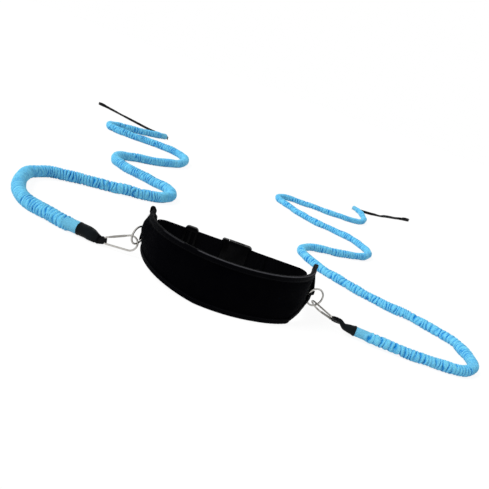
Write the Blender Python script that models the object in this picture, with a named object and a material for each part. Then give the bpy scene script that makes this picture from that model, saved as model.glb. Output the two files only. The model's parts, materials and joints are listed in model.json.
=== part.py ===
"""Resistance sprint trainer: a padded waist belt, two snap hooks and two sleeved elastic cords.

The belt stands on its lower edge with its front panel towards -Y. Metres, +Z up. Every piece of the real
product is an object of its own.
"""

import bisect
import math

import bmesh
import bpy
from mathutils import Matrix, Vector

# Gaps and shared values
SEAT_GAP = 0.0003
RUNNING_GAP = 0.0005
OVERRUN = 0.004
TUBE_RESOLUTION = 2
ROUND_SIDES = 12

# Belt outline, seen from above
BELT_HALF_WIDTH = 0.166
BELT_HALF_DEPTH = 0.145
FLANK_Y = 0.050
EAR_LENGTH = 0.036
EAR_FLARE = 0.007

# Panel
PANEL_HEIGHT = 0.093
EAR_TOP = 0.0965
EAR_BOTTOM = 0.030
LEVEL_BOTTOM_HALF = 0.150
SHELL_THICKNESS = 0.0012
LINING_THICKNESS = 0.0010
FOAM_EDGE = 0.0020
FOAM_CROWN = 0.0080
CROWN_FADE = 0.022
BINDING_THICKNESS = 0.0010
BINDING_LEG = 0.0093
CROWN_ROW_SHARES = (0.0, 0.0, 0.72, 1.0, 0.72, 0.0, 0.0)
ROW_HEIGHT_SHARES = (0.0, 0.25, 0.5, 0.75, 1.0)
LEVEL_COLUMNS = 20
EAR_COLUMNS = 7

# Rings and their sewn loops
RING_RADIUS = 0.018
RING_WIRE = 0.0019
RING_Y = 0.047
RING_HEIGHT = 0.0395
RING_SAG = 0.0033
RING_SEGMENTS = 24
RING_SIDES = 8
LEFT_RING_TURN = math.radians(180.0 + 65.14)
RIGHT_RING_TURN = math.radians(27.01)
LOOP_WEBBING = 0.0015
LOOP_WIDTH = 0.016
LOOP_BORE = 0.0046
LOOP_SEWN_LEG = 0.011
LOOP_SHOULDER = 0.0014

# Rear strap
STRAP_WIDTH = 0.050
STRAP_LOW = 0.025
STRAP_THICKNESS = 0.0018
STRAP_CORNER = 0.018
STRAP_SEWN = 0.045
REAR_Y = 0.0805
FOLD_RUN = 0.016
RIGHT_TAIL = 0.036
LEFT_STRAP_END_X = -0.068
ADJUSTER_END_X = -0.098

# Buckle
SOCKET_MOUTH_X = -0.010
SOCKET_BODY = 0.038
SOCKET_RIM = 0.0060
SOCKET_HALF_HEIGHT = STRAP_WIDTH / 2 + SOCKET_RIM
SOCKET_HALF_THICKNESS = 0.0065
SOCKET_FACE_WALL = 0.0018
SOCKET_SIDE_WALL = 0.0024
SOCKET_END_WALL = 0.0025
WINDOW_START = 0.0140
WINDOW_LENGTH = 0.0175
BAR_RADIUS = 0.0020
BAR_REACH = 0.0070
ARM_REACH = 0.0110
ARM_GAP = 0.0010
BUCKLE_EDGE = 0.0012
PLUG_BODY = 0.0065
PLUG_HALF_THICKNESS = 0.0052
GUIDE_LENGTH = 0.028
GUIDE_HALF_HEIGHT = 0.006
INNER_HALF_THICKNESS = 0.0038
PRONG_DROP = 0.0095
PRONG_HEIGHT = SOCKET_HALF_HEIGHT - PRONG_DROP
PRONG_ROOT = 0.0022
PRONG_SEAT_DEPTH = 0.0020
PRONG_ARM = 0.0030
PRONG_RISE = 0.0014
PRONG_HEAD_DEPTH = 0.0070
PRONG_PROUD = 0.0010
BUCKLE_TRAVEL = 0.037

# Slider on the left strap
SLIDER_X = -0.086
SLIDER_LENGTH = 0.025
SLIDER_RIM = 0.0050
SLIDER_HALF_HEIGHT = STRAP_WIDTH / 2 + SLIDER_RIM
SLIDER_PLATE = 0.0022
SLIDER_BAR = 0.0045
SLIDER_EDGE = 0.0008

# Snap hooks
HOOK_WIRE = 0.0019
HOOK_NARROW_HALF = 0.0065
HOOK_CORNER = 0.0030
HOOK_WIDE_RADIUS = 0.0145
HOOK_CENTRE_DISTANCE = 0.041
GATE_RADIUS = 0.0023
GATE_HINGE_AT = 0.0075
GATE_NOSE_AT = 0.0385
TONGUE_THICKNESS = 0.0020
TONGUE_REACH = 0.0026
TONGUE_STEP = 0.0038
FORK_REACH = 0.0026
FORK_DEPTH = 0.0036
NOSE_REACH = 0.0030
FORK_SLOT = 0.0026
PIN_RADIUS = 0.0007
PIN_HOLE = 0.0010
SPRING_RADIUS = 0.0010
SPRING_BORE = 0.0013
SPRING_LENGTH = 0.0094
SPRING_SIDES = 8
LEFT_TIP_SHARES = (-0.2066, -0.9638, -0.9206)
LEFT_HOOK_ALONG_SHARES = (0.9715, 0.0771, 0.2240)
LEFT_HOOK_ACROSS_SHARES = (-0.2368, 0.2891, 0.9275)
RIGHT_TIP_SHARES = (1.1327, 1.7642, -1.1492)
RIGHT_HOOK_ALONG_SHARES = (-0.6216, 0.7833, -0.0011)
RIGHT_HOOK_ACROSS_SHARES = (0.5996, 0.4749, -0.6442)

# Cuffs between hook and sleeve
CUFF_WEBBING = 0.0015
CUFF_LOOP_WIDTH = 0.0153
CUFF_BIGHT_WIDTH = 0.0068
CUFF_LOOP_LEG = 0.0150
CUFF_NECK_RUN = 0.0030
CUFF_FLARE_RUN = 0.0070
TONGUE_HALF_WIDTH = 0.0072
SHOULDER_HALF_WIDTH = 0.0082
SHOULDER_HALF_THICKNESS = 0.0048
CUFF_RADIUS = 0.0128
CUFF_BORE = 0.0083
CUFF_BORE_DEPTH = 0.018

# Cords
SLEEVE_CREST = 0.0140
SLEEVE_VALLEY = 0.0115
SLEEVE_SMOOTH = 0.0130
SLEEVE_BORE = 0.0065
SMOOTH_START = 0.045
SMOOTH_END = 0.032
RIBS = 64
RUBBER_RADIUS = 0.0050
FERRULE_RADIUS = 0.0075
NEAR_FERRULE_LENGTH = 0.014
FAR_FERRULE_LENGTH = 0.020
FERRULE_GRIP = 0.010
FERRULE_CLEARANCE = 0.0003
FAR_BORE = 0.0090
FAR_BORE_DEPTH = 0.024

# Far straps
FAR_WIDTH = 0.012
FAR_THICKNESS = 0.0020
FAR_TONGUE_WIDTH = 0.009
FAR_TONGUE_GRIP = 0.006
FAR_LIFT = 0.0004
FAR_LOOP_LENGTH = 0.075
FAR_LOOP_HALF = 0.011
FAR_TAIL = 0.025
LOOP_ALONG_SHARES = (0.12, 0.30, 0.52, 0.74, 0.91, 1.0, 0.91, 0.74, 0.52, 0.30, 0.12)
LOOP_SIDE_SHARES = (0.18, 0.60, 0.96, 1.0, 0.66, 0.0, -0.66, -1.0, -0.96, -0.62, -0.34)

# Routes of the cords on the floor, chosen by eye, in metres
LEFT_CORD_START = (-0.290, 0.036)
LEFT_START_TURN = math.radians(167.4)
LEFT_CORD_ROUTE = (
    (-0.392, 0.072), (-0.440, 0.108), (-0.472, 0.158), (-0.498, 0.228), (-0.509, 0.295), (-0.489, 0.346),
    (-0.434, 0.382), (-0.354, 0.418), (-0.284, 0.445), (-0.232, 0.481), (-0.210, 0.545), (-0.234, 0.610),
    (-0.298, 0.653), (-0.374, 0.690), (-0.431, 0.746), (-0.449, 0.825), (-0.414, 0.892), (-0.353, 0.953),
    (-0.302, 1.028), (-0.281, 1.120), (-0.292, 1.218), (-0.344, 1.296), (-0.424, 1.322), (-0.509, 1.322),
    (-0.588, 1.322), (-0.643, 1.352), (-0.660, 1.406), (-0.636, 1.453), (-0.585, 1.489), (-0.524, 1.543),
)  # fmt: skip
LEFT_CORD_END = (-0.457, 1.623)
RIGHT_CORD_START = (0.273, 0.010)
RIGHT_START_TURN = math.radians(-9.8)
RIGHT_CORD_ROUTE = (
    (0.381, 0.0005), (0.436, 0.000), (0.486, 0.008), (0.522, 0.037), (0.536, 0.090), (0.527, 0.150),
    (0.496, 0.192), (0.446, 0.225), (0.381, 0.253), (0.318, 0.288), (0.264, 0.332), (0.216, 0.384),
    (0.187, 0.436), (0.182, 0.494), (0.208, 0.544), (0.264, 0.574), (0.324, 0.607), (0.378, 0.652),
    (0.408, 0.712), (0.402, 0.785), (0.364, 0.850), (0.308, 0.890), (0.246, 0.914), (0.192, 0.966),
    (0.144, 1.036), (0.108, 1.100), (0.104, 1.146), (0.130, 1.184), (0.178, 1.197), (0.246, 1.198),
    (0.316, 1.198), (0.384, 1.200), (0.444, 1.228), (0.477, 1.300), (0.487, 1.385), (0.486, 1.462),
)  # fmt: skip
RIGHT_CORD_END = (0.460, 1.530)
LEFT_STRAP_ROUTE = (
    (-0.451, 1.642), (-0.461, 1.657), (-0.481, 1.675), (-0.513, 1.697), (-0.564, 1.726), (-0.640, 1.787),
    (-0.694, 1.833), (-0.748, 1.880), (-0.810, 1.934), (-0.860, 1.976),
)  # fmt: skip
LEFT_STRAP_TILTS = (90.0, 88.0, 84.0, 78.0, 64.0, 80.0, 66.0, 24.0, 70.0, 88.0)
RIGHT_STRAP_ROUTE = (
    (0.460, 1.549), (0.474, 1.556), (0.499, 1.557), (0.533, 1.568), (0.572, 1.594), (0.609, 1.626),
    (0.650, 1.668), (0.699, 1.719), (0.742, 1.765),
)  # fmt: skip
RIGHT_STRAP_TILTS = (90.0, 88.0, 86.0, 80.0, 56.0, 28.0, 76.0, 46.0, 88.0)
ROUTE_STEPS = 24
STRAP_STEPS = 4

# Looks: colour, roughness, metallic
BLACK_FABRIC = ((0.012, 0.013, 0.018), 0.82, 0.0)
BLACK_TAPE = ((0.020, 0.021, 0.026), 0.60, 0.0)
BLACK_WEBBING = ((0.016, 0.017, 0.021), 0.72, 0.0)
BLACK_PLASTIC = ((0.010, 0.010, 0.012), 0.32, 0.0)
PADDING = ((0.20, 0.20, 0.21), 0.90, 0.0)
NICKEL = ((0.68, 0.66, 0.61), 0.24, 1.0)
SPRING_STEEL = ((0.45, 0.45, 0.46), 0.35, 1.0)
BLUE_SLEEVE = ((0.045, 0.420, 0.880), 0.66, 0.0)
RUBBER = ((0.55, 0.47, 0.30), 0.55, 0.0)

UP = Vector((0.0, 0.0, 1.0))


def clear_scene():
    for obj in list(bpy.data.objects):
        bpy.data.objects.remove(obj, do_unlink=True)


def new_collection(name, hidden):
    collection = bpy.data.collections.new(name)
    bpy.context.scene.collection.children.link(collection)
    collection.hide_render = hidden
    return collection


clear_scene()
PARTS = new_collection("resistance_sprint_trainer", False)
CUTTERS = new_collection("cutters", True)


def material(name, look):
    colour, roughness, metallic = look
    made = bpy.data.materials.new(name)
    made.use_nodes = True
    shader = made.node_tree.nodes["Principled BSDF"]
    shader.inputs["Base Color"].default_value = (*colour, 1.0)
    shader.inputs["Roughness"].default_value = roughness
    shader.inputs["Metallic"].default_value = metallic
    made.diffuse_color = (*colour, 1.0)
    return made


def add(name, data, look=None, parent=None, location=None, rotation=None):
    """Links an object to the parts, or to the cutters where it has no look."""
    obj = bpy.data.objects.new(name, data)
    obj.parent = parent or FRAME
    if rotation is not None:
        obj.rotation_euler = rotation.to_euler()
    if location is not None:
        obj.location = location
    if look is None:
        CUTTERS.objects.link(obj)
        obj.hide_render = True
        obj.display_type = "WIRE"
    else:
        PARTS.objects.link(obj)
        data.materials.append(material(name, look))
    return obj


def mesh_from(bm, name):
    bmesh.ops.recalc_face_normals(bm, faces=bm.faces)
    if bm.calc_volume(signed=True) < 0:
        bmesh.ops.reverse_faces(bm, faces=bm.faces)
    mesh = bpy.data.meshes.new(name)
    bm.to_mesh(mesh)
    bm.free()
    return mesh


def smooth(obj, degrees=40.0):
    obj.data.shade_smooth()
    obj.data.set_sharp_from_angle(angle=math.radians(degrees))
    return obj


def box_mesh(name, low, high, edge=0.0):
    low, high = Vector(low), Vector(high)
    bm = bmesh.new()
    bmesh.ops.create_cube(bm, size=1)
    bmesh.ops.scale(bm, vec=high - low, verts=bm.verts)
    bmesh.ops.translate(bm, vec=(low + high) / 2, verts=bm.verts)
    if edge:
        bmesh.ops.bevel(bm, geom=list(bm.edges), offset=edge, segments=1, affect="EDGES",
                        clamp_overlap=True)  # fmt: skip
    return mesh_from(bm, name)


def cylinder_mesh(name, radius, start, end, sides=ROUND_SIDES):
    start, end = Vector(start), Vector(end)
    axis = end - start
    bm = bmesh.new()
    bmesh.ops.create_cone(bm, cap_ends=True, segments=sides, radius1=radius, radius2=radius,
                          depth=axis.length)  # fmt: skip
    turn = UP.rotation_difference(axis).to_matrix().to_4x4()
    bmesh.ops.transform(bm, matrix=Matrix.Translation((start + end) / 2) @ turn, verts=bm.verts)
    return mesh_from(bm, name)


def boolean(obj, other, operation):
    modifier = obj.modifiers.new(other.name, "BOOLEAN")
    modifier.operation = operation
    modifier.object = other
    modifier.solver = "EXACT"


def cut(obj, mesh, rotation=None, location=None):
    cutter = add(mesh.name, mesh, None, obj.parent, location, rotation)
    boolean(obj, cutter, "DIFFERENCE")
    return cutter


def join(obj, mesh, rotation=None, location=None):
    cutter = add(mesh.name, mesh, None, obj.parent, location, rotation)
    boolean(obj, cutter, "UNION")
    return cutter


def seat(obj, origin):
    """Puts the object's origin at a point, such as one on its joint's axis, and keeps its shape in place."""
    origin = Vector(origin)
    obj.data.transform(Matrix.Translation(-origin))
    obj.location = origin
    return obj


def bent_slab(name, columns, rows, place, look, parent=None):
    """A cube divided into columns and rows, whose corners go where place(column, row, side) puts them."""
    bm = bmesh.new()
    bmesh.ops.create_cube(bm, size=1)
    for axis, count in ((0, columns), (2, rows)):
        if count < 2:
            continue
        lines = [e for e in bm.edges if abs((e.verts[0].co - e.verts[1].co)[axis]) > 0.5]
        bmesh.ops.subdivide_edges(bm, edges=lines, cuts=count - 1, use_grid_fill=True)
    spots = {}
    for vert in bm.verts:
        spots[vert] = (
            round((vert.co.x + 0.5) * columns),
            round((vert.co.z + 0.5) * rows),
            round(vert.co.y + 0.5),
        )
    for vert, spot in spots.items():
        vert.co = place(*spot)
    for face in list(bm.faces):
        order = sorted(face.verts, key=lambda vert: sum(spots[vert]))
        if len(order) == 4 and len({spots[vert][2] for vert in order}) == 1:
            bmesh.utils.face_split(face, order[0], order[-1])
    return add(name, mesh_from(bm, name), look, parent)


def tube(name, points, radii, look, twist="MINIMUM"):
    curve = bpy.data.curves.new(name, "CURVE")
    curve.dimensions = "3D"
    curve.twist_mode = twist
    curve.bevel_depth = max(radii)
    curve.bevel_resolution = TUBE_RESOLUTION
    curve.use_fill_caps = True
    spline = curve.splines.new("POLY")
    spline.points.add(len(points) - 1)
    for spot, point, radius in zip(spline.points, points, radii):
        spot.co = (*point, 1.0)
        spot.radius = radius / max(radii)
    return add(name, curve, look)


def as_mesh(obj, merge=0.00001):
    """The same object as a mesh with its caps welded on, so that it can be cut."""
    bpy.context.view_layer.update()
    name, look = obj.name, obj.data.materials[0] if obj.data.materials else None
    evaluated = obj.evaluated_get(bpy.context.evaluated_depsgraph_get())
    mesh = bpy.data.meshes.new_from_object(evaluated)
    bm = bmesh.new()
    bm.from_mesh(mesh)
    bmesh.ops.remove_doubles(bm, verts=bm.verts, dist=merge)
    bmesh.ops.recalc_face_normals(bm, faces=bm.faces)
    bm.to_mesh(mesh)
    bm.free()
    home, parent, place = obj.users_collection[0], obj.parent, obj.matrix_world.copy()
    curve = obj.data
    bpy.data.objects.remove(obj, do_unlink=True)
    bpy.data.curves.remove(curve)
    made = bpy.data.objects.new(name, mesh)
    mesh.name = name
    home.objects.link(made)
    made.parent = parent
    made.matrix_world = place
    if look and not mesh.materials:
        mesh.materials.append(look)
    return made


def as_cutter(obj, target):
    """Moves a made mesh object to the cutters and cuts it out of the target."""
    for home in list(obj.users_collection):
        home.objects.unlink(obj)
    CUTTERS.objects.link(obj)
    obj.hide_render = True
    obj.display_type = "WIRE"
    boolean(target, obj, "DIFFERENCE")


def empty(name, location, rotation=None, parent=None):
    obj = bpy.data.objects.new(name, None)
    PARTS.objects.link(obj)
    obj.parent = parent
    obj.location = location
    if rotation is not None:
        obj.rotation_euler = rotation.to_euler()
    return obj


# The belt's outline: half of an ellipse, then two ears that flare outwards
def outline_table(steps=600):
    rows, travelled, last = [], 0.0, None
    for step in range(steps + 1):
        turn = math.pi / 2 * step / steps
        x, y = BELT_HALF_WIDTH * math.sin(turn), FLANK_Y - BELT_HALF_DEPTH * math.cos(turn)
        along = Vector((BELT_HALF_WIDTH * math.cos(turn), BELT_HALF_DEPTH * math.sin(turn))).normalized()
        travelled += 0.0 if last is None else (Vector((x, y)) - last).length
        last = Vector((x, y))
        rows.append((travelled, x, y, along.x, along.y))
    for step in range(1, steps // 4 + 1):
        share = 4 * step / steps
        x, y = BELT_HALF_WIDTH + EAR_FLARE * share * share, FLANK_Y + EAR_LENGTH * share
        along = Vector((2 * EAR_FLARE * share, EAR_LENGTH)).normalized()
        travelled += (Vector((x, y)) - last).length
        last = Vector((x, y))
        rows.append((travelled, x, y, along.x, along.y))
    return rows


OUTLINE = outline_table()
OUTLINE_STARTS = [row[0] for row in OUTLINE]
HALF_LENGTH = OUTLINE[-1][0]


def outline(distance):
    """Point, direction and outward direction of the panel's outer face, at a distance from its middle."""
    reach = min(abs(distance), HALF_LENGTH)
    index = min(max(bisect.bisect_right(OUTLINE_STARTS, reach), 1), len(OUTLINE) - 1)
    before, after = OUTLINE[index - 1], OUTLINE[index]
    share = (reach - before[0]) / (after[0] - before[0])
    x, y, along_x, along_y = (a + (b - a) * share for a, b in zip(before[1:], after[1:]))
    length = math.hypot(along_x, along_y)
    along_x, along_y = along_x / length, along_y / length
    side = -1.0 if distance < 0 else 1.0
    return (
        Vector((side * x, y, 0.0)),
        Vector((along_x, side * along_y, 0.0)),
        Vector((side * along_y, -along_x, 0.0)),
    )


def outline_at_y(y):
    """Distance along the right half at which the outline reaches a depth y."""
    return next(row[0] for row in OUTLINE if row[2] >= y)


def bottom_at(distance):
    past = max(abs(distance) - LEVEL_BOTTOM_HALF, 0.0)
    return EAR_BOTTOM * past / (HALF_LENGTH - LEVEL_BOTTOM_HALF)


def top_at(distance):
    return PANEL_HEIGHT + (EAR_TOP - PANEL_HEIGHT) * (distance / HALF_LENGTH) ** 2


def panel_point(distance, depth, height):
    spot, _, outward = outline(distance)
    return spot - outward * depth + UP * height


BINDING_STEP = BINDING_THICKNESS + SEAT_GAP
FABRIC_END = HALF_LENGTH - BINDING_STEP
CROWN_START = BINDING_LEG + SEAT_GAP
EDGE_DEPTH = SHELL_THICKNESS + FOAM_EDGE + LINING_THICKNESS + 2 * SEAT_GAP


def column_distances():
    """Columns of the panel: level part, slanted part and the bound end on each side."""
    level = [LEVEL_BOTTOM_HALF * (2 * i / LEVEL_COLUMNS - 1) for i in range(LEVEL_COLUMNS + 1)]
    reach = FABRIC_END - CROWN_START - LEVEL_BOTTOM_HALF
    ear = [LEVEL_BOTTOM_HALF + reach * i / EAR_COLUMNS for i in range(1, EAR_COLUMNS + 1)] + [FABRIC_END]
    return [-d for d in reversed(ear)] + level + ear


COLUMNS = column_distances()


def crown(distance, row):
    """Thickness of the padding: thin under the bindings, full in the middle."""
    room = (FABRIC_END - CROWN_START - abs(distance)) / CROWN_FADE
    fade = min(max(room, 0.0), 1.0)
    return FOAM_EDGE + (FOAM_CROWN - FOAM_EDGE) * CROWN_ROW_SHARES[row] * fade


def row_height(distance, row):
    low, high = bottom_at(distance) + BINDING_STEP, top_at(distance) - BINDING_STEP
    if row == 0:
        return low
    if row == len(CROWN_ROW_SHARES) - 1:
        return high
    low, high = low + CROWN_START, high - CROWN_START
    return low + (high - low) * ROW_HEIGHT_SHARES[row - 1]


def make_panel():
    last_row = len(CROWN_ROW_SHARES) - 1

    def shell(column, row, side):
        distance = COLUMNS[column]
        return panel_point(distance, SHELL_THICKNESS * side, row_height(distance, row * last_row))

    def foam(column, row, side):
        distance = COLUMNS[column]
        depth = SHELL_THICKNESS + SEAT_GAP + crown(distance, row) * side
        return panel_point(distance, depth, row_height(distance, row))

    def lining(column, row, side):
        distance = COLUMNS[column]
        depth = SHELL_THICKNESS + 2 * SEAT_GAP + crown(distance, row) + LINING_THICKNESS * side
        return panel_point(distance, depth, row_height(distance, row))

    smooth(bent_slab("front_panel_shell", len(COLUMNS) - 1, 1, shell, BLACK_FABRIC), 50.0)
    smooth(bent_slab("panel_foam", len(COLUMNS) - 1, last_row, foam, PADDING), 50.0)
    smooth(bent_slab("panel_lining", len(COLUMNS) - 1, last_row, lining, BLACK_FABRIC), 50.0)


def fold_section(row, side):
    """Depth and reach past the fabric's edge of a folded tape, for its four corners and two sides."""
    out = SEAT_GAP + BINDING_THICKNESS * side
    depth = EDGE_DEPTH + out if row < 2 else -out
    return depth, (-BINDING_LEG if row in (0, 3) else out)


def make_bindings():
    columns = [-HALF_LENGTH] + [d for d in COLUMNS[1:-1]] + [HALF_LENGTH]

    def top(column, row, side):
        depth, past = fold_section(row, side)
        distance = columns[column]
        return panel_point(distance, depth, top_at(distance) - BINDING_STEP + past)

    def bottom(column, row, side):
        depth, past = fold_section(row, side)
        distance = columns[column]
        return panel_point(distance, depth, bottom_at(distance) + BINDING_STEP - past)

    smooth(bent_slab("top_edge_binding", len(columns) - 1, 3, top, BLACK_TAPE), 50.0)
    smooth(bent_slab("bottom_edge_binding", len(columns) - 1, 3, bottom, BLACK_TAPE), 50.0)
    low = EAR_BOTTOM + BINDING_STEP + BINDING_LEG + SEAT_GAP
    high = EAR_TOP - BINDING_STEP - BINDING_LEG - SEAT_GAP
    for name, sign in (("left", -1.0), ("right", 1.0)):

        def end(column, row, side, sign=sign):
            depth, past = fold_section(row, side)
            return panel_point(sign * (FABRIC_END + past), depth, low if column == 0 else high)

        bent_slab(name + "_end_binding", 1, 3, end, BLACK_TAPE)


def webbing(name, stations, thickness, look, parent=None):
    """A strip of even thickness through stations of centre, width direction and width."""
    centres = [Vector(spot) for spot, _, _ in stations]
    last = len(centres) - 1
    frames = []
    for i, (_, across, width) in enumerate(stations):
        before, after = centres[max(i - 1, 0)], centres[min(i + 1, last)]
        into = (centres[i] - before).normalized() if i else (after - centres[i]).normalized()
        out = (after - centres[i]).normalized() if i < last else into
        along = (into + out).normalized()
        across = Vector(across).normalized()
        side = along.cross(across).normalized()
        across = side.cross(along).normalized()
        mitre = 1.0 / max(math.sqrt((1.0 + into.dot(out)) / 2), 0.5)
        frames.append((centres[i], across * (width / 2), side * (thickness / 2 * mitre)))

    def place(column, row, side):
        centre, across, out = frames[column]
        return centre + across * (2 * row - 1) + out * (2 * side - 1)

    return bent_slab(name, last, 1, place, look, parent)


def arc(centre, first, second, start, end, steps):
    """Points on a circle, whose two radius vectors are given, between two angles."""
    centre, first, second = Vector(centre), Vector(first), Vector(second)
    points = []
    for step in range(steps + 1):
        turn = start + (end - start) * step / steps
        points.append(centre + first * math.cos(turn) + second * math.sin(turn))
    return points


# Rings and loops
class Side:
    """What differs between the left and the right side."""

    def __init__(self, name, sign, ring_turn, ring_height, tip, along, across):
        self.name = name
        self.sign = sign
        self.ring_turn = ring_turn
        spot, self.flank_along, self.flank_out = outline(sign * outline_at_y(RING_Y))
        self.ring_pivot = spot + self.flank_out * (RING_WIRE + BINDING_STEP + SEAT_GAP) + UP * ring_height
        self.ring_out = Vector((math.cos(ring_turn), math.sin(ring_turn), 0.0))
        self.along = Vector(along).normalized()
        across = Vector(across)
        self.across = (across - self.along * across.dot(self.along)).normalized()
        self.face = self.along.cross(self.across)
        reach = HOOK_NARROW_HALF + HOOK_CENTRE_DISTANCE + HOOK_WIDE_RADIUS
        self.hook_pivot = self.ring_pivot + RING_RADIUS * Vector(tip) - self.along * reach
        self.hook_turn = Matrix((self.along, self.across, self.face)).transposed().to_3x3()


LEFT = Side("left", -1.0, LEFT_RING_TURN, RING_HEIGHT + RING_SAG, LEFT_TIP_SHARES, LEFT_HOOK_ALONG_SHARES,
            LEFT_HOOK_ACROSS_SHARES)  # fmt: skip
RIGHT = Side("right", 1.0, RIGHT_RING_TURN, RING_HEIGHT - RING_SAG, RIGHT_TIP_SHARES,
             RIGHT_HOOK_ALONG_SHARES, RIGHT_HOOK_ACROSS_SHARES)  # fmt: skip


def ring_reach(side):
    turned = abs(side.ring_out.x) * RING_RADIUS
    return abs(side.ring_pivot.x) + turned + turned + RING_WIRE


def frame_shift():
    """The origin lies below the middle of the belt's and the rings' box, on the floor."""
    back = max(REAR_Y + SOCKET_HALF_THICKNESS, FLANK_Y + EAR_LENGTH)
    front = FLANK_Y - BELT_HALF_DEPTH - BINDING_STEP
    return Vector(((ring_reach(LEFT) - ring_reach(RIGHT)) / 2, -(front + back) / 2, 0.0))


FRAME = empty("trainer_frame", frame_shift())


def make_ring(side):
    bpy.ops.mesh.primitive_torus_add(
        major_segments=RING_SEGMENTS, minor_segments=RING_SIDES, major_radius=RING_RADIUS,
        minor_radius=RING_WIRE,
    )
    ring = bpy.context.object
    mesh = ring.data
    bpy.data.objects.remove(ring, do_unlink=True)
    mesh.name = side.name + "_ring"
    mesh.transform(Matrix.Translation((RING_RADIUS, 0.0, 0.0)))
    upright = Matrix.Rotation(side.ring_turn, 3, "Z") @ Matrix.Rotation(math.pi / 2, 3, "X")
    smooth(add(side.name + "_ring", mesh, NICKEL, None, side.ring_pivot, upright), 80.0)


def make_ring_loop(side):
    middle = side.sign * outline_at_y(RING_Y)
    radius = LOOP_BORE + LOOP_WEBBING / 2
    lie = BINDING_STEP + RUNNING_GAP + LOOP_WEBBING / 2
    height = UP * side.ring_pivot.z
    leg_start = radius + LOOP_SHOULDER
    leg_steps = (leg_start + LOOP_SEWN_LEG, leg_start + LOOP_SEWN_LEG / 2, leg_start)
    back = [panel_point(middle - side.sign * d, -lie, 0.0) + height for d in leg_steps]
    fore = [panel_point(middle + side.sign * d, -lie, 0.0) + height for d in reversed(leg_steps)]
    towards = side.flank_along * side.sign
    bow = arc(side.ring_pivot, -towards * radius, side.flank_out * radius, 0.0, math.pi, 8)
    stations = [(spot, UP, LOOP_WIDTH) for spot in back + bow + fore]
    smooth(webbing(side.name + "_ring_loop", stations, LOOP_WEBBING, BLACK_WEBBING), 50.0)


# Rear strap, buckle and slider
STRAP_MID_Z = STRAP_LOW + STRAP_WIDTH / 2
LINED_DEPTH = SHELL_THICKNESS + FOAM_CROWN + LINING_THICKNESS + 2 * SEAT_GAP
STRAP_DEPTH = LINED_DEPTH + SEAT_GAP + STRAP_THICKNESS / 2
FOLD_RADIUS = BAR_RADIUS + SEAT_GAP + STRAP_THICKNESS / 2
DOUBLE_OFFSET = (STRAP_THICKNESS + SEAT_GAP) / 2
TRIPLE_OFFSET = STRAP_THICKNESS + SEAT_GAP
SOCKET_BAR_X = SOCKET_MOUTH_X + SOCKET_BODY + BAR_REACH
PLUG_FACE_X = SOCKET_MOUTH_X - RUNNING_GAP
PLUG_BAR_X = PLUG_FACE_X - PLUG_BODY - BAR_REACH + BAR_RADIUS


def flank_run(side, rear_y):
    """Points of the rear strap from its sewn front end, round the corner, to the rear run."""
    first = outline_at_y(FLANK_Y) - STRAP_SEWN
    points = []
    for step in range(6):
        distance = first + STRAP_SEWN * step / 5
        points.append(panel_point(side.sign * distance, STRAP_DEPTH, STRAP_MID_Z))
    flank_x = abs(points[-1].x)
    centre = Vector((side.sign * (flank_x - STRAP_CORNER), rear_y - STRAP_CORNER, STRAP_MID_Z))
    outwards, backwards = Vector((side.sign * STRAP_CORNER, 0.0, 0.0)), Vector((0.0, STRAP_CORNER, 0.0))
    return points + arc(centre, outwards, backwards, 0.0, math.pi / 2, 6)


def rear_point(x, y):
    return Vector((x, y, STRAP_MID_Z))


def make_rear_straps():
    bar = rear_point(SOCKET_BAR_X, REAR_Y)
    points = flank_run(RIGHT, REAR_Y + DOUBLE_OFFSET)
    points.append(rear_point(SOCKET_BAR_X + FOLD_RUN, REAR_Y + DOUBLE_OFFSET))
    across, inwards = Vector((0.0, FOLD_RADIUS, 0.0)), Vector((-FOLD_RADIUS, 0.0, 0.0))
    points += arc(bar, across, inwards, 0.0, math.pi, 6)
    points.append(rear_point(SOCKET_BAR_X + FOLD_RUN, REAR_Y - DOUBLE_OFFSET))
    points.append(rear_point(SOCKET_BAR_X + RIGHT_TAIL, REAR_Y - DOUBLE_OFFSET))
    stations = [(spot, UP, STRAP_WIDTH) for spot in points]
    smooth(webbing("right_rear_strap", stations, STRAP_THICKNESS, BLACK_WEBBING), 50.0)

    points = flank_run(LEFT, REAR_Y)
    points.append(rear_point(LEFT_STRAP_END_X, REAR_Y))
    stations = [(spot, UP, STRAP_WIDTH) for spot in points]
    smooth(webbing("left_rear_strap", stations, STRAP_THICKNESS, BLACK_WEBBING), 50.0)

    bar = rear_point(PLUG_BAR_X, REAR_Y)
    points = [rear_point(ADJUSTER_END_X, REAR_Y + TRIPLE_OFFSET)]
    points.append(rear_point(PLUG_BAR_X - FOLD_RUN, REAR_Y + TRIPLE_OFFSET))
    points += arc(bar, across, -inwards, 0.0, math.pi, 6)
    points.append(rear_point(PLUG_BAR_X - FOLD_RUN, REAR_Y - TRIPLE_OFFSET))
    points.append(rear_point(ADJUSTER_END_X, REAR_Y - TRIPLE_OFFSET))
    stations = [(spot, UP, STRAP_WIDTH) for spot in points]
    smooth(seat(webbing("adjuster_webbing", stations, STRAP_THICKNESS, BLACK_WEBBING), bar), 50.0)


def block(name, x_low, x_high, half_y, z_low, z_high, edge=0.0):
    """A box on the buckle's middle plane."""
    low = (x_low, REAR_Y - half_y, STRAP_MID_Z + z_low)
    high = (x_high, REAR_Y + half_y, STRAP_MID_Z + z_high)
    return box_mesh(name, low, high, edge)


def bar_mesh(name, x, half_height):
    return cylinder_mesh(name, BAR_RADIUS, rear_point(x, REAR_Y) - UP * half_height,
                         rear_point(x, REAR_Y) + UP * half_height)  # fmt: skip


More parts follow.
